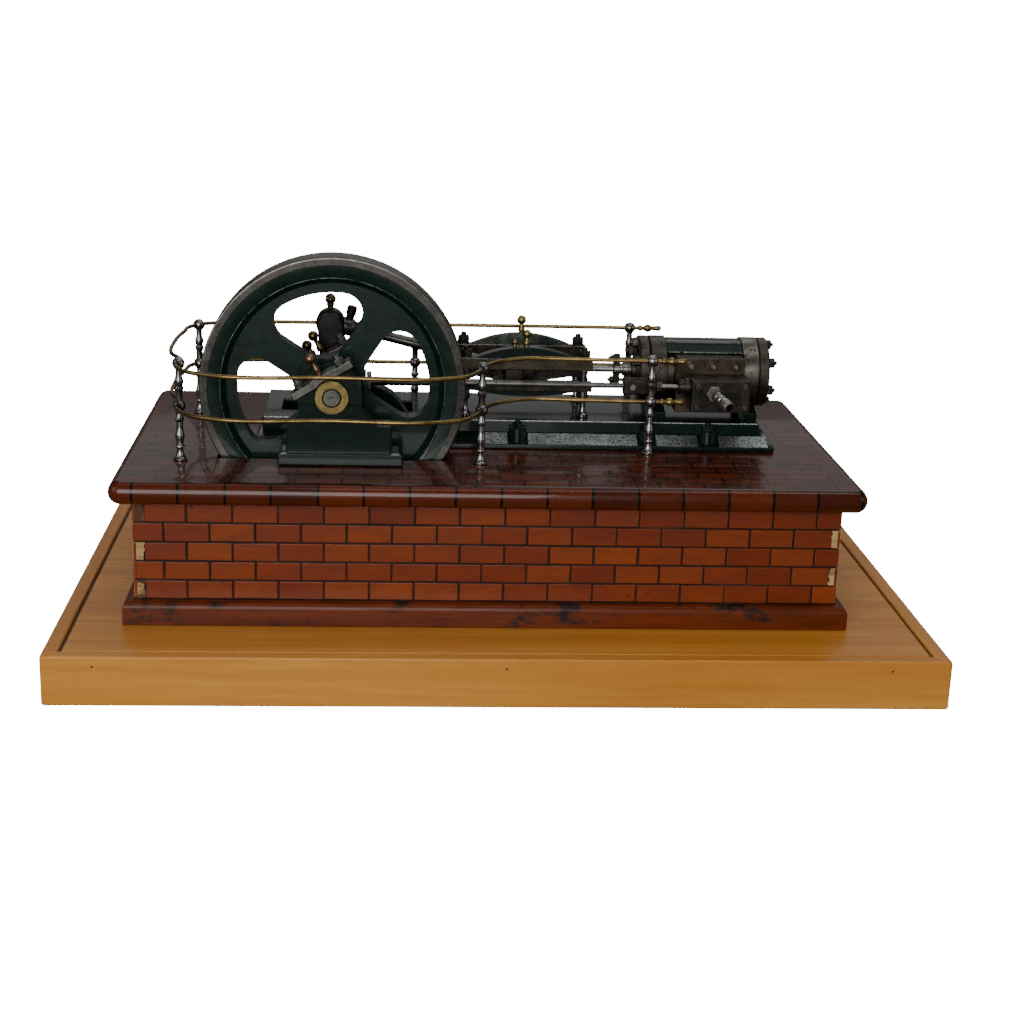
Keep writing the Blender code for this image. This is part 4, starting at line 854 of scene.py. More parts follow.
def connecting_rod():
    start, end = Vector((PIN.x, ENGINE_Y, PIN.z)), Vector((GUDGEON.x, ENGINE_Y, AXIS_Z))
    along = (end - start).normalized()
    length = (end - start).length
    across = Vector((-along.z, 0, along.x))
    place = axes(start, along)
    shank = [(0.0080, 0.0066), (0.0160, 0.0066), (0.0176, 0.0056), (0.0195, 0.0034), (length * 0.5, 0.0040),
             (length - 0.0150, 0.0033), (length - 0.0135, 0.0040), (length - 0.0110, 0.0040), (length - 0.0060, 0.0034)]
    piece("rod_shank", turned(bmesh.new(), shank, place, 40), "rod_steel", "connecting_rod", ["connecting_rod"])
    front, back = BIG_FRONT, BIG_BACK
    big = [(0, 0.0093), (0.0009, 0.0102), (0.0022, 0.0105), (back - front - 0.0022, 0.0105),
           (back - front - 0.0009, 0.0102), (back - front, 0.0093)]
    end_bore = [(0, 0.0053), *big, (back - front, 0.0053)]
    place = axes((PIN.x, front, PIN.z), Y)
    piece("rod_big_end", revolve(bmesh.new(), end_bore, place, 72, closed=True), "black_iron", "connecting_rod", sharp=25)
    middle_y = (front + back) / 2
    stud = bmesh.new()
    foot = Vector((PIN.x, middle_y, PIN.z)) + along * 0.0130 + across * 0.0030
    rod(stud, foot, foot + across * 0.0070, 0.0030, steps=28)
    rod(stud, foot + across * 0.0060, foot + across * 0.0128, 0.0037, steps=32, edge=0.0007)
    piece("rod_stud", stud, "black_iron", "connecting_rod")
    small = [(0, 0.0033), (0, 0.0060), (0.0006, 0.0065), (0.0090, 0.0065), (0.0096, 0.0060), (0.0096, 0.0033)]
    place = axes((GUDGEON.x, ENGINE_Y - 0.0048, AXIS_Z), Y)
    piece("rod_small_end", revolve(bmesh.new(), small, place, 56, closed=True), "worn_steel", "connecting_rod")
    pin = bmesh.new()
    rod(pin, (PIN.x, low("crank_pin").y, PIN.z), (PIN.x, back + GAP, PIN.z), 0.0050, steps=48)
    rod(pin, (PIN.x, back + GAP, PIN.z), (PIN.x, high("crank_pin").y, PIN.z), 0.0070, steps=48, edge=0.0008)
    piece("pin", pin, "steel", "crank_pin", ["crank_pin"])
    foot = Vector((PIN.x, middle_y, low("big_end_oil_cup").z))
    oil_cup("big_end_cup", foot, Z, high("big_end_oil_cup").z - foot.z, 0.0040, "big_end_oil_cup", "dark_brass",
            ["big_end_oil_cup"])


def valve_gear():
    y = SHEAVE.y
    place = axes((SHEAVE.x, y - 0.004, SHEAVE.z), Y)
    radius = (high("eccentric_sheave").x - low("eccentric_sheave").x) / 2
    ring = [(0, radius + GAP), (0, radius + 0.0045), (0.0005, radius + 0.0050), (0.0075, radius + 0.0050),
            (0.0080, radius + 0.0045), (0.0080, radius + GAP)]
    piece("strap_ring", revolve(bmesh.new(), ring, place, 80, closed=True), "dark_iron", "eccentric_strap",
          ["eccentric_strap"])
    x = SHEAVE.x + radius + 0.0032
    lug = block(bmesh.new(), (x, y - 0.0035, SHEAVE.z - 0.0078), (x + 0.0088, y + 0.0035, SHEAVE.z + 0.0078))
    piece("strap_lug", lug, "dark_iron", "eccentric_strap", bevel=0.0006)
    turn = math.radians(122)
    up = Vector((math.cos(turn), 0, math.sin(turn)))
    oil_cup("strap_cup", Vector((SHEAVE.x, y, SHEAVE.z)) + up * (radius + 0.0045), up, 0.0140, 0.0038,
            "eccentric_strap")
    fork_x, fork_z = FORK.x, FORK.z
    start, end = Vector((x + 0.0125, y, SHEAVE.z)), Vector((fork_x - 0.002, y, fork_z))
    line = (end - start)
    shank = [(0, 0.0033), (0.006, 0.0031), (line.length * 0.5, 0.0026), (line.length - 0.003, 0.0019),
             (line.length, 0.0019)]
    piece("valve_link", turned(bmesh.new(), shank, axes(start, line), 32), "rod_steel", "eccentric_rod",
          ["eccentric_rod"])
    palm = block(bmesh.new(), (x + 0.0091, y - 0.0030, SHEAVE.z - 0.0065), (x + 0.0126, y + 0.0030, SHEAVE.z + 0.0065))
    piece("link_palm", palm, "worn_steel", "eccentric_rod", bevel=0.0005)
    eye = bmesh.new()
    rod(eye, (fork_x, y - 0.0020, fork_z), (fork_x, y + 0.0020, fork_z), 0.0035, steps=40)
    piece("link_eye", eye, "worn_steel", "eccentric_rod")
    left, right = fork_x - 0.0065, fork_x + 0.0175
    fork = block(bmesh.new(), (left, y - 0.0058, fork_z - 0.0052), (right, y + 0.0058, fork_z + 0.0052))
    slot = block(bmesh.new(), (left - 0.01, y - 0.0026, fork_z - 0.02), (fork_x + 0.0135, y + 0.0026, fork_z + 0.02))
    piece("fork", fork, "dark_iron", "valve_rod", ["valve_rod"], bevel=0.0010, segments=3, cutters=[slot])
    spindle = bmesh.new()
    rod(spindle, (right - 0.002, y, fork_z), (high("valve_rod").x, y, fork_z), 0.0016, steps=28)
    nut(spindle, (right - 0.0002, y, fork_z), X, across=0.0062, height=0.0044, stud=0.0)
    for side in (-1, 1):
        rod(spindle, (fork_x, y + side * 0.0030, fork_z), (fork_x, y + side * 0.0066, fork_z), 0.0022, steps=24)
    piece("valve_spindle", spindle, "steel", "valve_rod")


# Crosshead and slide bars

def crosshead():
    x, half = GUDGEON.x, GUIDE_OFFSET - GUIDE_HALF
    left, right = x - 0.0065, x + 0.0155
    body = block(bmesh.new(), (left, ENGINE_Y - 0.0105, AXIS_Z - 0.0072), (right, ENGINE_Y + 0.0105, AXIS_Z + 0.0072))
    slot = block(bmesh.new(), (x - 0.03, ENGINE_Y - 0.0053, AXIS_Z - 0.02), (x + 0.0072, ENGINE_Y + 0.0053, AXIS_Z + 0.02))
    bore = rod(bmesh.new(), (x, ENGINE_Y - 0.02, AXIS_Z), (x, ENGINE_Y + 0.02, AXIS_Z), 0.0033, steps=40, edge=0)
    socket = rod(bmesh.new(), (x + 0.0095, ENGINE_Y, AXIS_Z), (x + 0.03, ENGINE_Y, AXIS_Z), 0.0027, steps=32, edge=0)
    piece("crosshead_block", body, "dark_iron", "crosshead", ["crosshead"], bevel=0.0008, segments=3,
          cutters=[slot, bore, socket])
    slippers = bmesh.new()
    for side in (-1, 1):
        ends = sorted((ENGINE_Y + side * 0.0100, ENGINE_Y + side * (half + 0.0095)))
        block(slippers, (x - 0.0060, ends[0], AXIS_Z - GUIDE_SLOT + GAP), (x + 0.0060, ends[1], AXIS_Z + GUIDE_SLOT - GAP))
    piece("crosshead_slippers", slippers, "dark_iron", "crosshead", bevel=0.0004)
    pin = rod(bmesh.new(), (x, low("crosshead_pin").y, AXIS_Z), (x, high("crosshead_pin").y, AXIS_Z), 0.0030, steps=40)
    piece("gudgeon", pin, "steel", "crosshead_pin", ["crosshead_pin"])
    start, end = low("piston_rod").x, high("piston_rod").x
    stem = rod(bmesh.new(), (start, ENGINE_Y, AXIS_Z), (end, ENGINE_Y, AXIS_Z), 0.0024, steps=40)
    piece("piston_stem", stem, "steel", "piston_rod", ["piston_rod"])
    collar = [(0, 0.0027), (0, 0.0050), (0.0006, 0.0056), (0.0040, 0.0056), (0.0046, 0.0050), (0.0046, 0.0027)]
    place = axes((right - 0.0003, ENGINE_Y, AXIS_Z), X)
    piece("rod_collar", revolve(bmesh.new(), collar, place, 48, closed=True), "steel", "crosshead")


def guides():
    start, end = low("guide_front_upper").x, high("guide_front_upper").x
    reach, centre = (end - start) / 2, ((start + end) / 2, AXIS_Z)
    for bar, sign in (("upper", 1), ("lower", -1)):
        thick, swell, finish = (0.0080, 0.0085, "bar_steel") if sign > 0 else (0.0067, 0.0040, "dark_iron")
        inner, outer = sign * (GUIDE_SLOT + thick - 0.0006), sign * (GUIDE_SLOT + thick)
        span = reach - 0.0115
        arch = [(span * t, outer + sign * swell * (1 - t * t)) for t in (1 - i / 18 for i in range(37))]
        shape = [(-span, inner), (span, inner), *arch]
        strip = [(-reach, sign * GUIDE_SLOT), (reach, sign * GUIDE_SLOT), (reach, outer), (-reach, outer)]
        for name, side in (("front", -1), ("back", 1)):
            y = ENGINE_Y + side * GUIDE_OFFSET
            place, node = facing((centre[0], 0, centre[1])), f"guide_{name}_{bar}"
            made = prism(bmesh.new(), strip, y - GUIDE_HALF, y + GUIDE_HALF, place)
            piece(f"slide_bar_{name}_{bar}", made, finish, node, [node], bevel=0.0005, segments=3)
            if sign > 0:
                line = bmesh.new()
                rod(line, (centre[0] - reach + 0.001, y - GUIDE_HALF + 0.0002, AXIS_Z + outer - 0.0002),
                    (centre[0] + reach - 0.001, y - GUIDE_HALF + 0.0002, AXIS_Z + outer - 0.0002), 0.00035, steps=10)
                piece(f"slide_edge_{name}", line, "worn_steel", node)
            # The back arches take the lighter metallic green and the front ones the dark enamel: a painted highlight on
            # the back bows
            made = prism(bmesh.new(), shape, y - GUIDE_HALF + 0.0008, y + GUIDE_HALF - 0.0008, place)
            piece(f"slide_arch_{name}_{bar}", made, "painted_highlight_green" if side > 0 else "green", node, bevel=0.0012,
                  segments=3)
    slot_low, slot_high = AXIS_Z - GUIDE_SLOT, AXIS_Z + GUIDE_SLOT
    foot = BED_TOP + GAP
    top = slot_high + 0.0080
    stud = 0.0019
    profile = [(0, 0.0040), (0.0003, 0.0043), (0.0018, 0.0043), (0.0022, 0.0038), (0.0030, 0.0029), (0.0045, 0.0023),
               (0.0100, 0.0020), (0.0118, 0.0023), (0.0128, 0.0031), (0.0138, 0.0035),
               (slot_low - 0.0067 - GAP - foot, 0.0035), (slot_low - 0.0067 - GAP - foot, stud),
               (slot_low + GAP - foot, stud), (slot_low + GAP - foot, 0.0031), (slot_low + 0.0015 - foot, 0.0032),
               (AXIS_Z - foot, 0.0024), (slot_high - 0.0015 - foot, 0.0032), (slot_high - GAP - foot, 0.0031),
               (slot_high - GAP - foot, stud), (top + GAP - foot, stud), (top + GAP - foot, 0.0044),
               (top + 0.0009 - foot, 0.0044), (top + 0.0010 - foot, 0.0020)]
    for name, side in (("front", -1), ("back", 1)):
        for spot in ("left", "right"):
            node = f"guide_pillar_{name}_{spot}"
            x, y = middle(node).x, middle(node).y
            pillar = turned(bmesh.new(), profile, axes((x, y, foot), Z), 44)
            piece(f"pillar_{name}_{spot}", pillar, "post_steel", node, [node], sharp=30)
            caps = nut(bmesh.new(), (x, y, top + 0.0009), Z, across=0.0082, height=0.0052, stud=0.0042, spin=0.35)
            piece(f"pillar_nut_{name}_{spot}", caps, "dark_iron", node, bevel=0.00015, segments=1)
    cups = {"front": (0.0220, 0.0130, 0.0032), "back": (0.0216, 0.0140, 0.0035)}
    for name, (x, height, radius) in cups.items():
        y = middle(f"guide_{name}_upper").y
        z = high(f"guide_{name}_upper").z - 0.0006
        oil_cup(f"bar_cup_{name}", (x, y, z), Z, height, radius, f"guide_{name}_upper", "brass")
    y = middle("guide_front_upper").y
    small = Vector((0.0134, y, high("guide_front_upper").z - 0.0012))
    oil_cup("bar_cup_small", small, Z, 0.0065, 0.0021, "guide_front_upper", "brass")


# Cylinder and steam chest

def round_plate(name, node, left, right, radius, finish, edge=0.0005, hole=0.0, replaces=()):
    length = right - left
    outer = [(0, radius - edge), (edge, radius), (length - edge, radius), (length, radius - edge)]
    place = axes((left, ENGINE_Y, AXIS_Z), X)
    if hole:
        bm = revolve(bmesh.new(), [(0, hole), *outer, (length, hole)], place, 112, closed=True)
    else:
        bm = turned(bmesh.new(), outer, place, 112)
    return piece(name, bm, finish, node, replaces)


def ring_of_nuts(bm, x, along, radius, count, first, **size):
    for i in range(count):
        turn = math.radians(first) + math.tau * i / count
        foot = Vector((x, ENGINE_Y + radius * math.cos(turn), AXIS_Z + radius * math.sin(turn)))
        nut(bm, foot, along, spin=turn, **size)
    return bm


def steam_cylinder():
    left, right = low("cylinder").x, high("cylinder").x
    bore, flange = 0.016, 0.012
    round_plate("barrel", "cylinder", left + 0.002, right - 0.002, bore + 0.0045, "iron", hole=bore,
                replaces=["cylinder"])
    round_plate("flange_left", "cylinder", left, left + flange, FLANGE_RADIUS, "iron", hole=bore)
    round_plate("flange_right", "cylinder", right - flange, right, FLANGE_RADIUS, "flange_steel", hole=bore)
    start, end = low("steam_chest"), high("steam_chest")
    ports = block(bmesh.new(), (start.x, end.y + GAP, start.z), (end.x, ENGINE_Y - bore - 0.001, end.z))
    piece("port_block", ports, "dark_iron", "cylinder", bevel=0.0008)
    lag_left, lag_right = low("lagging").x, high("lagging").x
    radius = (high("lagging").y - ENGINE_Y)
    sheet = [(0, radius - 0.0012), (0, radius), (lag_right - lag_left, radius), (lag_right - lag_left, radius - 0.0012)]
    cladding = revolve(bmesh.new(), sheet, axes((lag_left, ENGINE_Y, AXIS_Z), X), 112, closed=True)
    window = block(bmesh.new(), (left, -0.1, start.z - 0.0042), (right, ENGINE_Y - 0.002, end.z + 0.0008))
    piece("cladding", cladding, "green", "lagging", ["lagging"], cutters=[window])
    screws, trim = bmesh.new(), bmesh.new()
    for x in (lag_left + 0.0045, lag_right - 0.0045):
        for degrees in (108, -118):
            turn = math.radians(degrees)
            out = Vector((0, math.cos(turn), math.sin(turn)))
            foot = Vector((x, ENGINE_Y, AXIS_Z)) + out * (radius - 0.0002)
            turned(screws, [(0, 0.0019), (0.0005, 0.0019), (0.0009, 0.0012)], axes(foot, out), 24)
    piece("cladding_screws", screws, "worn_steel", "lagging")
    # A bright bead along the cladding's cut edge over the chest: partly real wear, partly a painted highlight
    bead = end.z + 0.0010
    y = ENGINE_Y - math.sqrt(radius**2 - (AXIS_Z - bead) ** 2)
    rod(trim, (lag_left + 0.0002, y, bead), (lag_right - 0.0002, y, bead), 0.0007, steps=16)
    piece("cladding_trim", trim, "wear_and_highlight_edge", "lagging")
    for name, node, outer, away in (("front", "front_cover", low("front_cover").x, -1),
                                    ("rear", "rear_cover", high("rear_cover").x, 1)):
        near = left - GAP if away < 0 else right + GAP
        far = left - 0.008 if away < 0 else outer
        ends = sorted((near, far))
        hole = 0.0027 if away < 0 else 0.0
        round_plate(f"{name}_end_cover", node, *ends, FLANGE_RADIUS - 0.0002, "iron", 0.0009, hole, [node])
        boss = sorted((far - away * 0.0005, far + away * 0.0016))
        round_plate(f"{name}_cover_boss", node, *boss, 0.0150, "iron", 0.0007, hole)
        nuts = ring_of_nuts(bmesh.new(), far, X * away, 0.0205, 6, 30, across=0.0066, height=0.0042, stud=0.0030)
        piece(f"{name}_cover_nuts", nuts, "nut_brown", node, bevel=0.00014, segments=1)
    gland, box_left = low("piston_rod_gland").x, left - 0.0125
    round_plate("stuffing_box", "front_cover", box_left, left - 0.007, 0.0085, "iron", 0.0006, 0.0027)
    turns = [(0, 0.0027), (0, 0.0040), (0.0006, 0.0046), (0.0046, 0.0046), (0.0052, 0.0037), (0.0066, 0.0037),
             (0.0072, 0.0050), (0.0110, 0.0050), (0.0114, 0.0044), (box_left + 0.002 - gland, 0.0044),
             (box_left + 0.002 - gland, 0.0027)]
    place = axes((gland, ENGINE_Y, AXIS_Z), X)
    piece("gland_nose", revolve(bmesh.new(), turns, place, 48, closed=True), "steel", "piston_rod_gland",
          ["piston_rod_gland"], sharp=25)
    outline = arc((0.0076, 0), 0.0042, math.radians(-60), math.radians(60), 10)
    outline += arc((-0.0076, 0), 0.0042, math.radians(120), math.radians(240), 10)
    place = Matrix.Translation((gland, ENGINE_Y, AXIS_Z)) @ Matrix(
        ((0, 0, 1, 0), (0, 1, 0, 0), (1, 0, 0, 0), (0, 0, 0, 1)))
    stem = rod(bmesh.new(), (gland - 0.01, ENGINE_Y, AXIS_Z), (left, ENGINE_Y, AXIS_Z), 0.0047, steps=40, edge=0)
    piece("gland_flange", prism(bmesh.new(), outline, 0.0004, 0.0048, place), "dark_iron", "piston_rod_gland",
          bevel=0.0004, cutters=[stem])
    studs = bmesh.new()
    for side in (-1, 1):
        foot = Vector((gland + 0.0006, ENGINE_Y, AXIS_Z + side * 0.0080))
        nut(studs, foot, -X, across=0.0050, height=0.0030, stud=0.0026)
        rod(studs, foot, (left - 0.006, foot.y, foot.z), 0.0013, steps=20)
    piece("gland_studs", studs, "nut_brown", "piston_rod_gland", bevel=0.0001, segments=1)


def steam_chest():
    start, end = low("steam_chest"), high("steam_chest")
    cover_low, cover_high = low("steam_chest_cover"), high("steam_chest_cover")
    wall = 0.0040
    body = block(bmesh.new(), (cover_low.x, start.y, cover_low.z), (end.x, end.y, cover_high.z))
    room = block(bmesh.new(), (cover_low.x + wall, start.y - 0.01, cover_low.z + wall),
                 (end.x - wall, end.y + 0.01, cover_high.z - wall))
    spindle = rod(bmesh.new(), (cover_low.x - 0.01, FORK.y, FORK.z), (cover_low.x + 0.01, FORK.y, FORK.z), 0.0019,
                  steps=28, edge=0)
    piece("chest_body", body, "dark_iron", "steam_chest", ["steam_chest"], bevel=0.0007, cutters=[room, spindle])
    flange = block(bmesh.new(), (start.x, end.y - 0.0047, start.z), (end.x, end.y, end.z))
    opening_cut = block(bmesh.new(), (cover_low.x + wall, end.y - 0.02, cover_low.z + wall),
                        (end.x - wall, end.y + 0.01, cover_high.z - wall))
    piece("chest_flange", flange, "chest_brown", "steam_chest", bevel=0.0006, cutters=[opening_cut])
    plate = block(bmesh.new(), cover_low, cover_high)
    piece("chest_cover", plate, "dark_iron", "steam_chest_cover", ["steam_chest_cover"], bevel=0.0008, segments=3)
    raised = block(bmesh.new(), (cover_low.x + 0.0075, cover_low.y - 0.0008, cover_low.z + 0.0060),
                   (cover_high.x - 0.0075, cover_low.y + 0.001, cover_high.z - 0.0060))
    piece("chest_panel", raised, "dark_iron", "steam_chest_cover", bevel=0.0005)
    nuts = bmesh.new()
    tips = bmesh.new()
    for x in (cover_low.x + 0.0042, cover_high.x - 0.0042):
        for z in (cover_low.z + 0.0040, cover_high.z - 0.0040):
            nut(nuts, (x, cover_low.y, z), -Y, across=0.0048, height=0.0030, stud=0.0024, spin=0.2)
            rod(tips, (x, cover_low.y, z), (x, cover_low.y - 0.0044, z), 0.0011, steps=16)
    for x in (0.1415, 0.1575, 0.1740):
        z = end.z - 0.0052
        turned(nuts, [(0, 0.0034), (0.0005, 0.0034)], axes((x, end.y - 0.0047, z), -Y), 28)
        nut(nuts, (x, end.y - 0.0052, z), -Y, across=0.0056, height=0.0034, stud=0.0026, spin=0.5)
        rod(tips, (x, end.y - 0.0052, z), (x, end.y - 0.0104, z), 0.0014, steps=16)
    piece("chest_nuts", nuts, "nut_brown", "steam_chest_cover", bevel=0.00012, segments=1)
    piece("chest_studs", tips, "steel", "steam_chest_cover")
    gland = low("valve_rod_gland").x
    length = high("valve_rod_gland").x - gland
    profile = [(0, 0.0019), (0, 0.0048), (0.0008, 0.0056), (length - 0.0032, 0.0056), (length - 0.0030, 0.0068),
               (length, 0.0068), (length, 0.0019)]
    place = axes((gland, FORK.y, FORK.z), X)
    piece("spindle_gland", revolve(bmesh.new(), profile, place, 48, closed=True), "dark_iron", "valve_rod_gland",
          ["valve_rod_gland"])
    foot = Vector((0.1545, cover_low.y - GAP, 0.1815))
    lean = Vector((0.35, -0.90, -0.25)).normalized()
    base = nut(bmesh.new(), foot, -Y, across=0.0112, height=0.0055, stud=0.0)
    piece("inlet_hexagon", base, "worn_steel", "steam_inlet", ["steam_inlet"], bevel=0.0003)
    profile = [(0.0030, 0.0042), (0.0085, 0.0042), (0.0092, 0.0037), (0.0112, 0.0037), (0.0118, 0.0042),
               (0.0134, 0.0042), (0.0140, 0.0037), (0.0160, 0.0037), (0.0168, 0.0044), (0.0232, 0.0044),
               (0.0238, 0.0040), (0.0238, 0.0029), (0.0110, 0.0027), (0.0110, 0)]
    tube = revolve(bmesh.new(), [(0.0030, 0), *profile], axes(foot, lean), 48)
    piece("inlet_tube", tube, "steel", "steam_inlet")


# Railing

def post(name, node, turn):
    """A turned post with a ball at each rail."""
    foot = Vector((middle(node).x, middle(node).y, SLAB_TOP + GAP))
    lower, upper = (z - foot.z for z in RAIL_LEVELS)
    profile = [(0, 0.0046), (0.0003, 0.0049), (0.0010, 0.0049), (0.0013, 0.0042), (0.0022, 0.0036), (0.0034, 0.0029),
               (0.0055, 0.0024), (0.0078, 0.0022), (0.0086, 0.0026), (0.0094, 0.0033), (0.0103, 0.0031),
               (0.0110, 0.0024), (0.0120, 0.0023), (0.0145, 0.0029), (0.0172, 0.0034), (0.0184, 0.0031),
               (0.0190, 0.0027), (0.0230, 0.0023), (0.0268, 0.0022), (0.0276, 0.0028), (0.0286, 0.0033),
               (0.0294, 0.0029), (0.0300, 0.0025)]
    profile += ball(lower, 0.0044, -58, 58, 14)
    profile += [(lower + 0.0046, 0.0024), (0.0480, 0.0024), (0.0490, 0.0030), (0.0505, 0.0033), (0.0513, 0.0029),
                (0.0520, 0.0025), (0.0532, 0.0029), (0.0550, 0.0034), (0.0566, 0.0030), (0.0590, 0.0022)]
    profile += ball(upper, 0.0044, -60, 88, 18)
    eyes = []
    for level in RAIL_LEVELS:
        centre, reach = Vector((foot.x, foot.y, level)), 0.008 * Vector((math.cos(turn), math.sin(turn), 0))
        eyes.append(rod(bmesh.new(), centre - reach, centre + reach, RAIL_RADIUS + 0.0006, steps=28, edge=0))
    piece(name, turned(bmesh.new(), profile, axes(foot, Z), 44), "post_steel", node, [node], sharp=24, cutters=eyes)


def rail_line(z):
    """Points of a rail from the front right, round the flywheel and the left end, to the back right."""
    stops = {}
    for spot, (x, y, degrees) in POSTS.items():
        turn = math.radians(degrees)
        step = 0.006 * Vector((math.cos(turn), math.sin(turn), 0))
        ahead = -1 if spot in ("front_middle", "front_right") else 1
        centre = Vector((x, y, z))
        stops[spot] = [centre - ahead * step, centre, centre + ahead * step]
    between = [Vector((x, y, z)) for x, y in ((0.060, -0.0425), (0.015, -0.0440))]
    bow = [Vector((x, y, z)) for x, y in ((-0.0270, -0.1090), (-0.0420, -0.1160), (-0.116, -0.1175),
                                          (-0.196, -0.1160), (-0.2120, -0.1060))]
    left = [Vector((x, y, z)) for x, y in ((-0.2290, -0.045), (-0.2315, -0.008), (-0.2290, 0.033))]
    ends = Vector((0.0075, 0, 0))
    line = [stops["front_right"][1] + ends, *stops["front_right"], *between, *stops["front_middle"], *bow,
            *stops["front_left"], *left, *stops["back_left"], Vector((-0.200, 0.0725, z)), *stops["back_middle"],
            *stops["back_right"], stops["back_right"][1] + ends]
    return through(line, 0.0018)


def through(stops, pitch):
    """A smooth line through the stops, with a point about every pitch."""
    spans = [(there - here).length for here, there in zip(stops, stops[1:])]
    slopes = [(stops[1] - stops[0]) / spans[0]]
    for i in range(1, len(stops) - 1):
        before, after = spans[i - 1], spans[i]
        rise = (stops[i + 1] - stops[i]) / after * before + (stops[i] - stops[i - 1]) / before * after
        slopes.append(rise / (before + after))
    slopes.append((stops[-1] - stops[-2]) / spans[-1])
    line = []
    for i, span in enumerate(spans):
        steps = max(1, round(span / pitch))
        for k in range(steps):
            t = k / steps
            line.append(stops[i] * (2 * t**3 - 3 * t**2 + 1) + stops[i + 1] * (3 * t**2 - 2 * t**3)
                        + span * (slopes[i] * (t**3 - 2 * t**2 + t) + slopes[i + 1] * (t**3 - t**2)))
    return [*line, stops[-1]]


def pipe(bm, line, radius, steps=20):
    """A round bar along a level line."""
    rings = []
    for i, point in enumerate(line):
        ahead = line[min(i + 1, len(line) - 1)] - line[max(i - 1, 0)]
        side = ahead.cross(Z).normalized()
        turns = (math.tau * k / steps for k in range(steps))
        rings.append([bm.verts.new(point + radius * (math.cos(a) * side + math.sin(a) * Z)) for a in turns])
    bm.faces.new(rings[0])
    bm.faces.new(rings[-1])
    for first, second in zip(rings, rings[1:]):
        for i in range(steps):
            j = (i + 1) % steps
            bm.faces.new((first[i], first[j], second[j], second[i]))
    return bm


def railing():
    for spot, (_, _, degrees) in POSTS.items():
        post(f"rail_post_{spot}", f"post_{spot}", math.radians(degrees))
    bead = [(0, 0.0008), (0.0006, 0.0017), (0.0014, 0.0022), (0.0022, 0.0024), (0.0030, 0.0021), (0.0038, 0.0016),
            (0.0046, 0.0015), (0.0054, 0.0020), (0.0064, 0.0027), (0.0074, 0.0030), (0.0086, 0.0030),
            (0.0096, 0.0026), (0.0104, 0.0019), (0.0112, 0.0016), (0.0135, 0.0018), (0.0155, 0.0021),
            (0.0170, 0.0022), (0.0180, 0.0016), (0.0185, 0.0010)]
    for node, level in zip(("lower_rail", "upper_rail"), RAIL_LEVELS):
        line = rail_line(level)
        piece(f"{node}_bar", pipe(bmesh.new(), line, RAIL_RADIUS), "rail_brass", node, [node])
        for which, end in (("front", line[0]), ("back", line[-1])):
            tip = turned(bmesh.new(), bead, axes(end - Vector((0.0015, 0, 0)), X), 36)
            piece(f"{node}_{which}_tip", tip, "rail_brass", node)


def finish_node(node, finish):
    """Gives a CAD node that is shown as it is its material."""
    mesh = frame["nodes"][node].data
    mesh.materials.clear()
    mesh.materials.append(MATERIALS[finish])
    mesh.shade_smooth()


# Studio

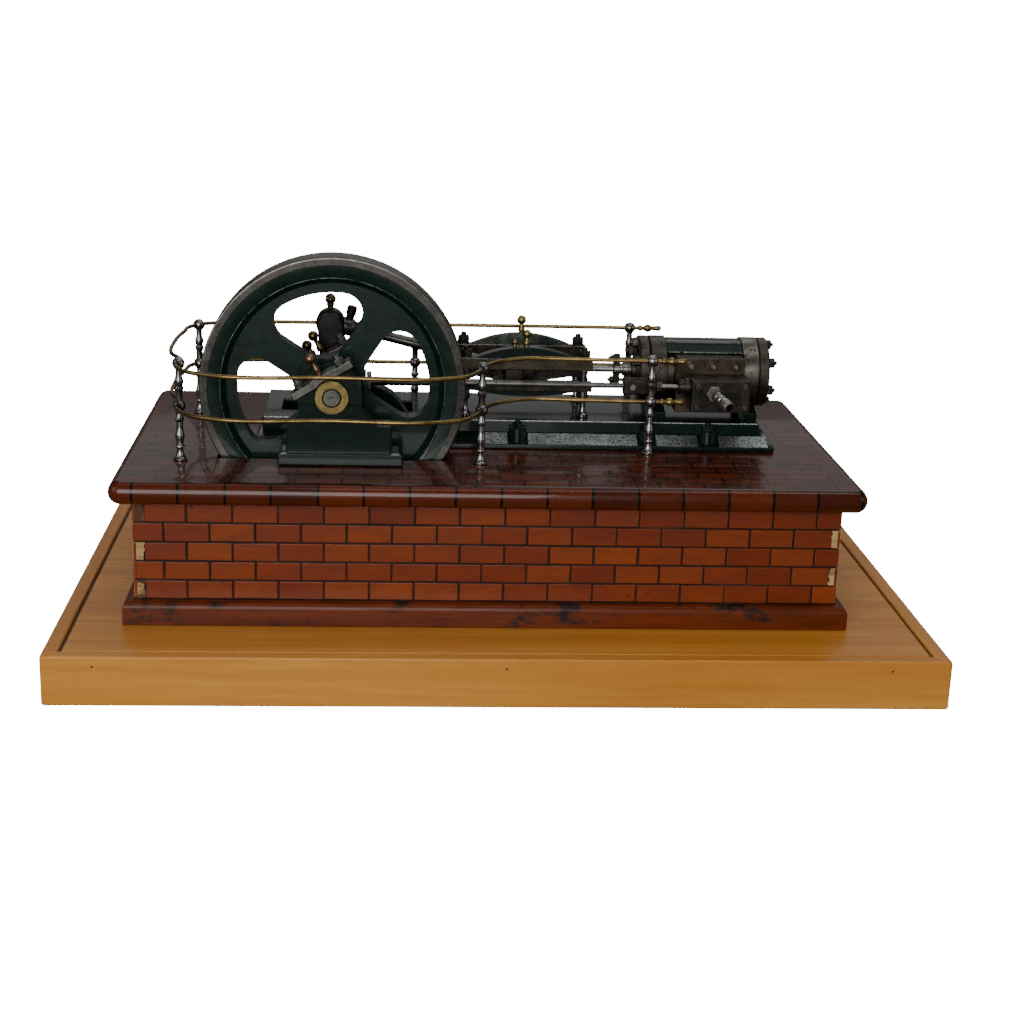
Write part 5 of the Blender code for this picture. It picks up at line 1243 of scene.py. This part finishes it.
def studio():
    place = bpy.data.cameras.new("camera")
    place.lens = 63.13
    place.sensor_width = 36
    camera = bpy.data.objects.new("camera", place)
    bpy.context.scene.collection.objects.link(camera)
    pitch, yaw, roll = 0.2882, -0.0714, -0.0324
    ahead = Matrix.Rotation(yaw, 3, "Z") @ Vector((0, math.cos(pitch), -math.sin(pitch)))
    level = Matrix.Rotation(yaw, 3, "Z") @ X
    down = ahead.cross(level)
    across = math.cos(roll) * level + math.sin(roll) * down
    down = math.cos(roll) * down - math.sin(roll) * level
    turn = Matrix((across, -down, -ahead)).transposed().to_4x4()
    camera.matrix_world = Matrix.Translation((-0.0763, -1.2892, 0.461)) @ turn
    bpy.context.scene.camera = camera

    def panel(name, spot, target, size, power, tall=None):
        light = bpy.data.lights.new(name, "AREA")
        light.shape = "RECTANGLE"
        light.size, light.size_y = size, tall or size
        light.energy = power
        obj = bpy.data.objects.new(name, light)
        bpy.context.scene.collection.objects.link(obj)
        obj.location = spot
        obj.rotation_euler = (Vector(spot) - Vector(target)).to_track_quat("Z", "Y").to_euler()

    panel("top_box", (0.0, 0.1, 1.6), (0, 0, 0.1), 1.4, TOP_POWER, 0.8)
    panel("front_box", (-0.5, -2.3, 0.75), (0, 0, 0.1), 1.6, FRONT_POWER, 1.2)
    panel("left_box", (-1.6, -0.9, 0.8), (0, 0, 0.12), 1.0, LEFT_POWER)
    panel("right_box", (1.7, -0.9, 0.7), (0, 0, 0.12), 1.0, RIGHT_POWER)
    panel("strip_box", (0.35, -0.45, 1.6), (0, 0, 0.1), 1.7, STRIP_POWER, 0.14)
    panel("glare_box", (0.2, 1.8, 0.9), (0, 0, 0.15), 2.2, GLARE_POWER, 0.8)
    panel("back_box", (0.2, 1.6, 1.9), (0, 0, 0.15), 2.0, BACK_POWER, 0.8)
    world = bpy.data.worlds.new("studio")
    world.use_nodes = True
    bpy.context.scene.world = world
    nodes, links = world.node_tree.nodes, world.node_tree.links
    nodes.clear()
    seen = nodes.new("ShaderNodeBackground")
    seen.inputs["Strength"].default_value = WALL_SEEN
    felt = nodes.new("ShaderNodeBackground")
    felt.inputs["Strength"].default_value = WALL_FELT
    felt.inputs["Color"].default_value = (0.97, 0.98, 1.0, 1)
    ray = nodes.new("ShaderNodeLightPath")
    mix = nodes.new("ShaderNodeMixShader")
    out = nodes.new("ShaderNodeOutputWorld")
    links.new(ray.outputs["Is Camera Ray"], mix.inputs["Fac"])
    links.new(felt.outputs[0], mix.inputs[1])
    links.new(seen.outputs[0], mix.inputs[2])
    links.new(mix.outputs[0], out.inputs["Surface"])
    floor = bmesh.new()
    corners = [floor.verts.new(corner) for corner in ((-6, -3, 0), (6, -3, 0), (6, 9, 0), (-6, 9, 0))]
    floor.faces.new(corners)
    mesh = bpy.data.meshes.new("floor")
    floor.to_mesh(mesh)
    floor.free()
    ground = bpy.data.objects.new("floor", mesh)
    bpy.context.scene.collection.objects.link(ground)
    pale = Shader("floor", (0.14, 0.14, 0.14), 0.8)
    glow = pale.nodes.new("ShaderNodeEmission")
    glow.inputs["Strength"].default_value = FLOOR_SEEN
    ray = pale.nodes.new("ShaderNodeLightPath")
    lit = pale.nodes.new("ShaderNodeMixShader")
    both = pale.nodes.new("ShaderNodeAddShader")
    surface = pale.nodes["Material Output"].inputs["Surface"]
    pale.links.new(pale.main.outputs[0], both.inputs[0])
    pale.links.new(glow.outputs[0], both.inputs[1])
    pale.links.new(ray.outputs["Is Camera Ray"], lit.inputs["Fac"])
    pale.links.new(pale.main.outputs[0], lit.inputs[1])
    pale.links.new(both.outputs[0], lit.inputs[2])
    pale.links.new(lit.outputs[0], surface)
    mesh.materials.append(pale.material)


TOP_POWER, FRONT_POWER, LEFT_POWER, RIGHT_POWER, BACK_POWER = 1.6, 33, 3.6, 2.8, 7.0
STRIP_POWER, GLARE_POWER = 2.8, 1.3
WALL_SEEN, WALL_FELT, FLOOR_SEEN = 22.0, 0.085, 17.0

display_base()
plinth()
bedplate()
bearings()
flywheel()
crank()
connecting_rod()
valve_gear()
crosshead()
guides()
steam_cylinder()
steam_chest()
railing()
for node, finish in (("piston", "iron"), ("slide_valve", "brass")):
    finish_node(node, finish)
studio()
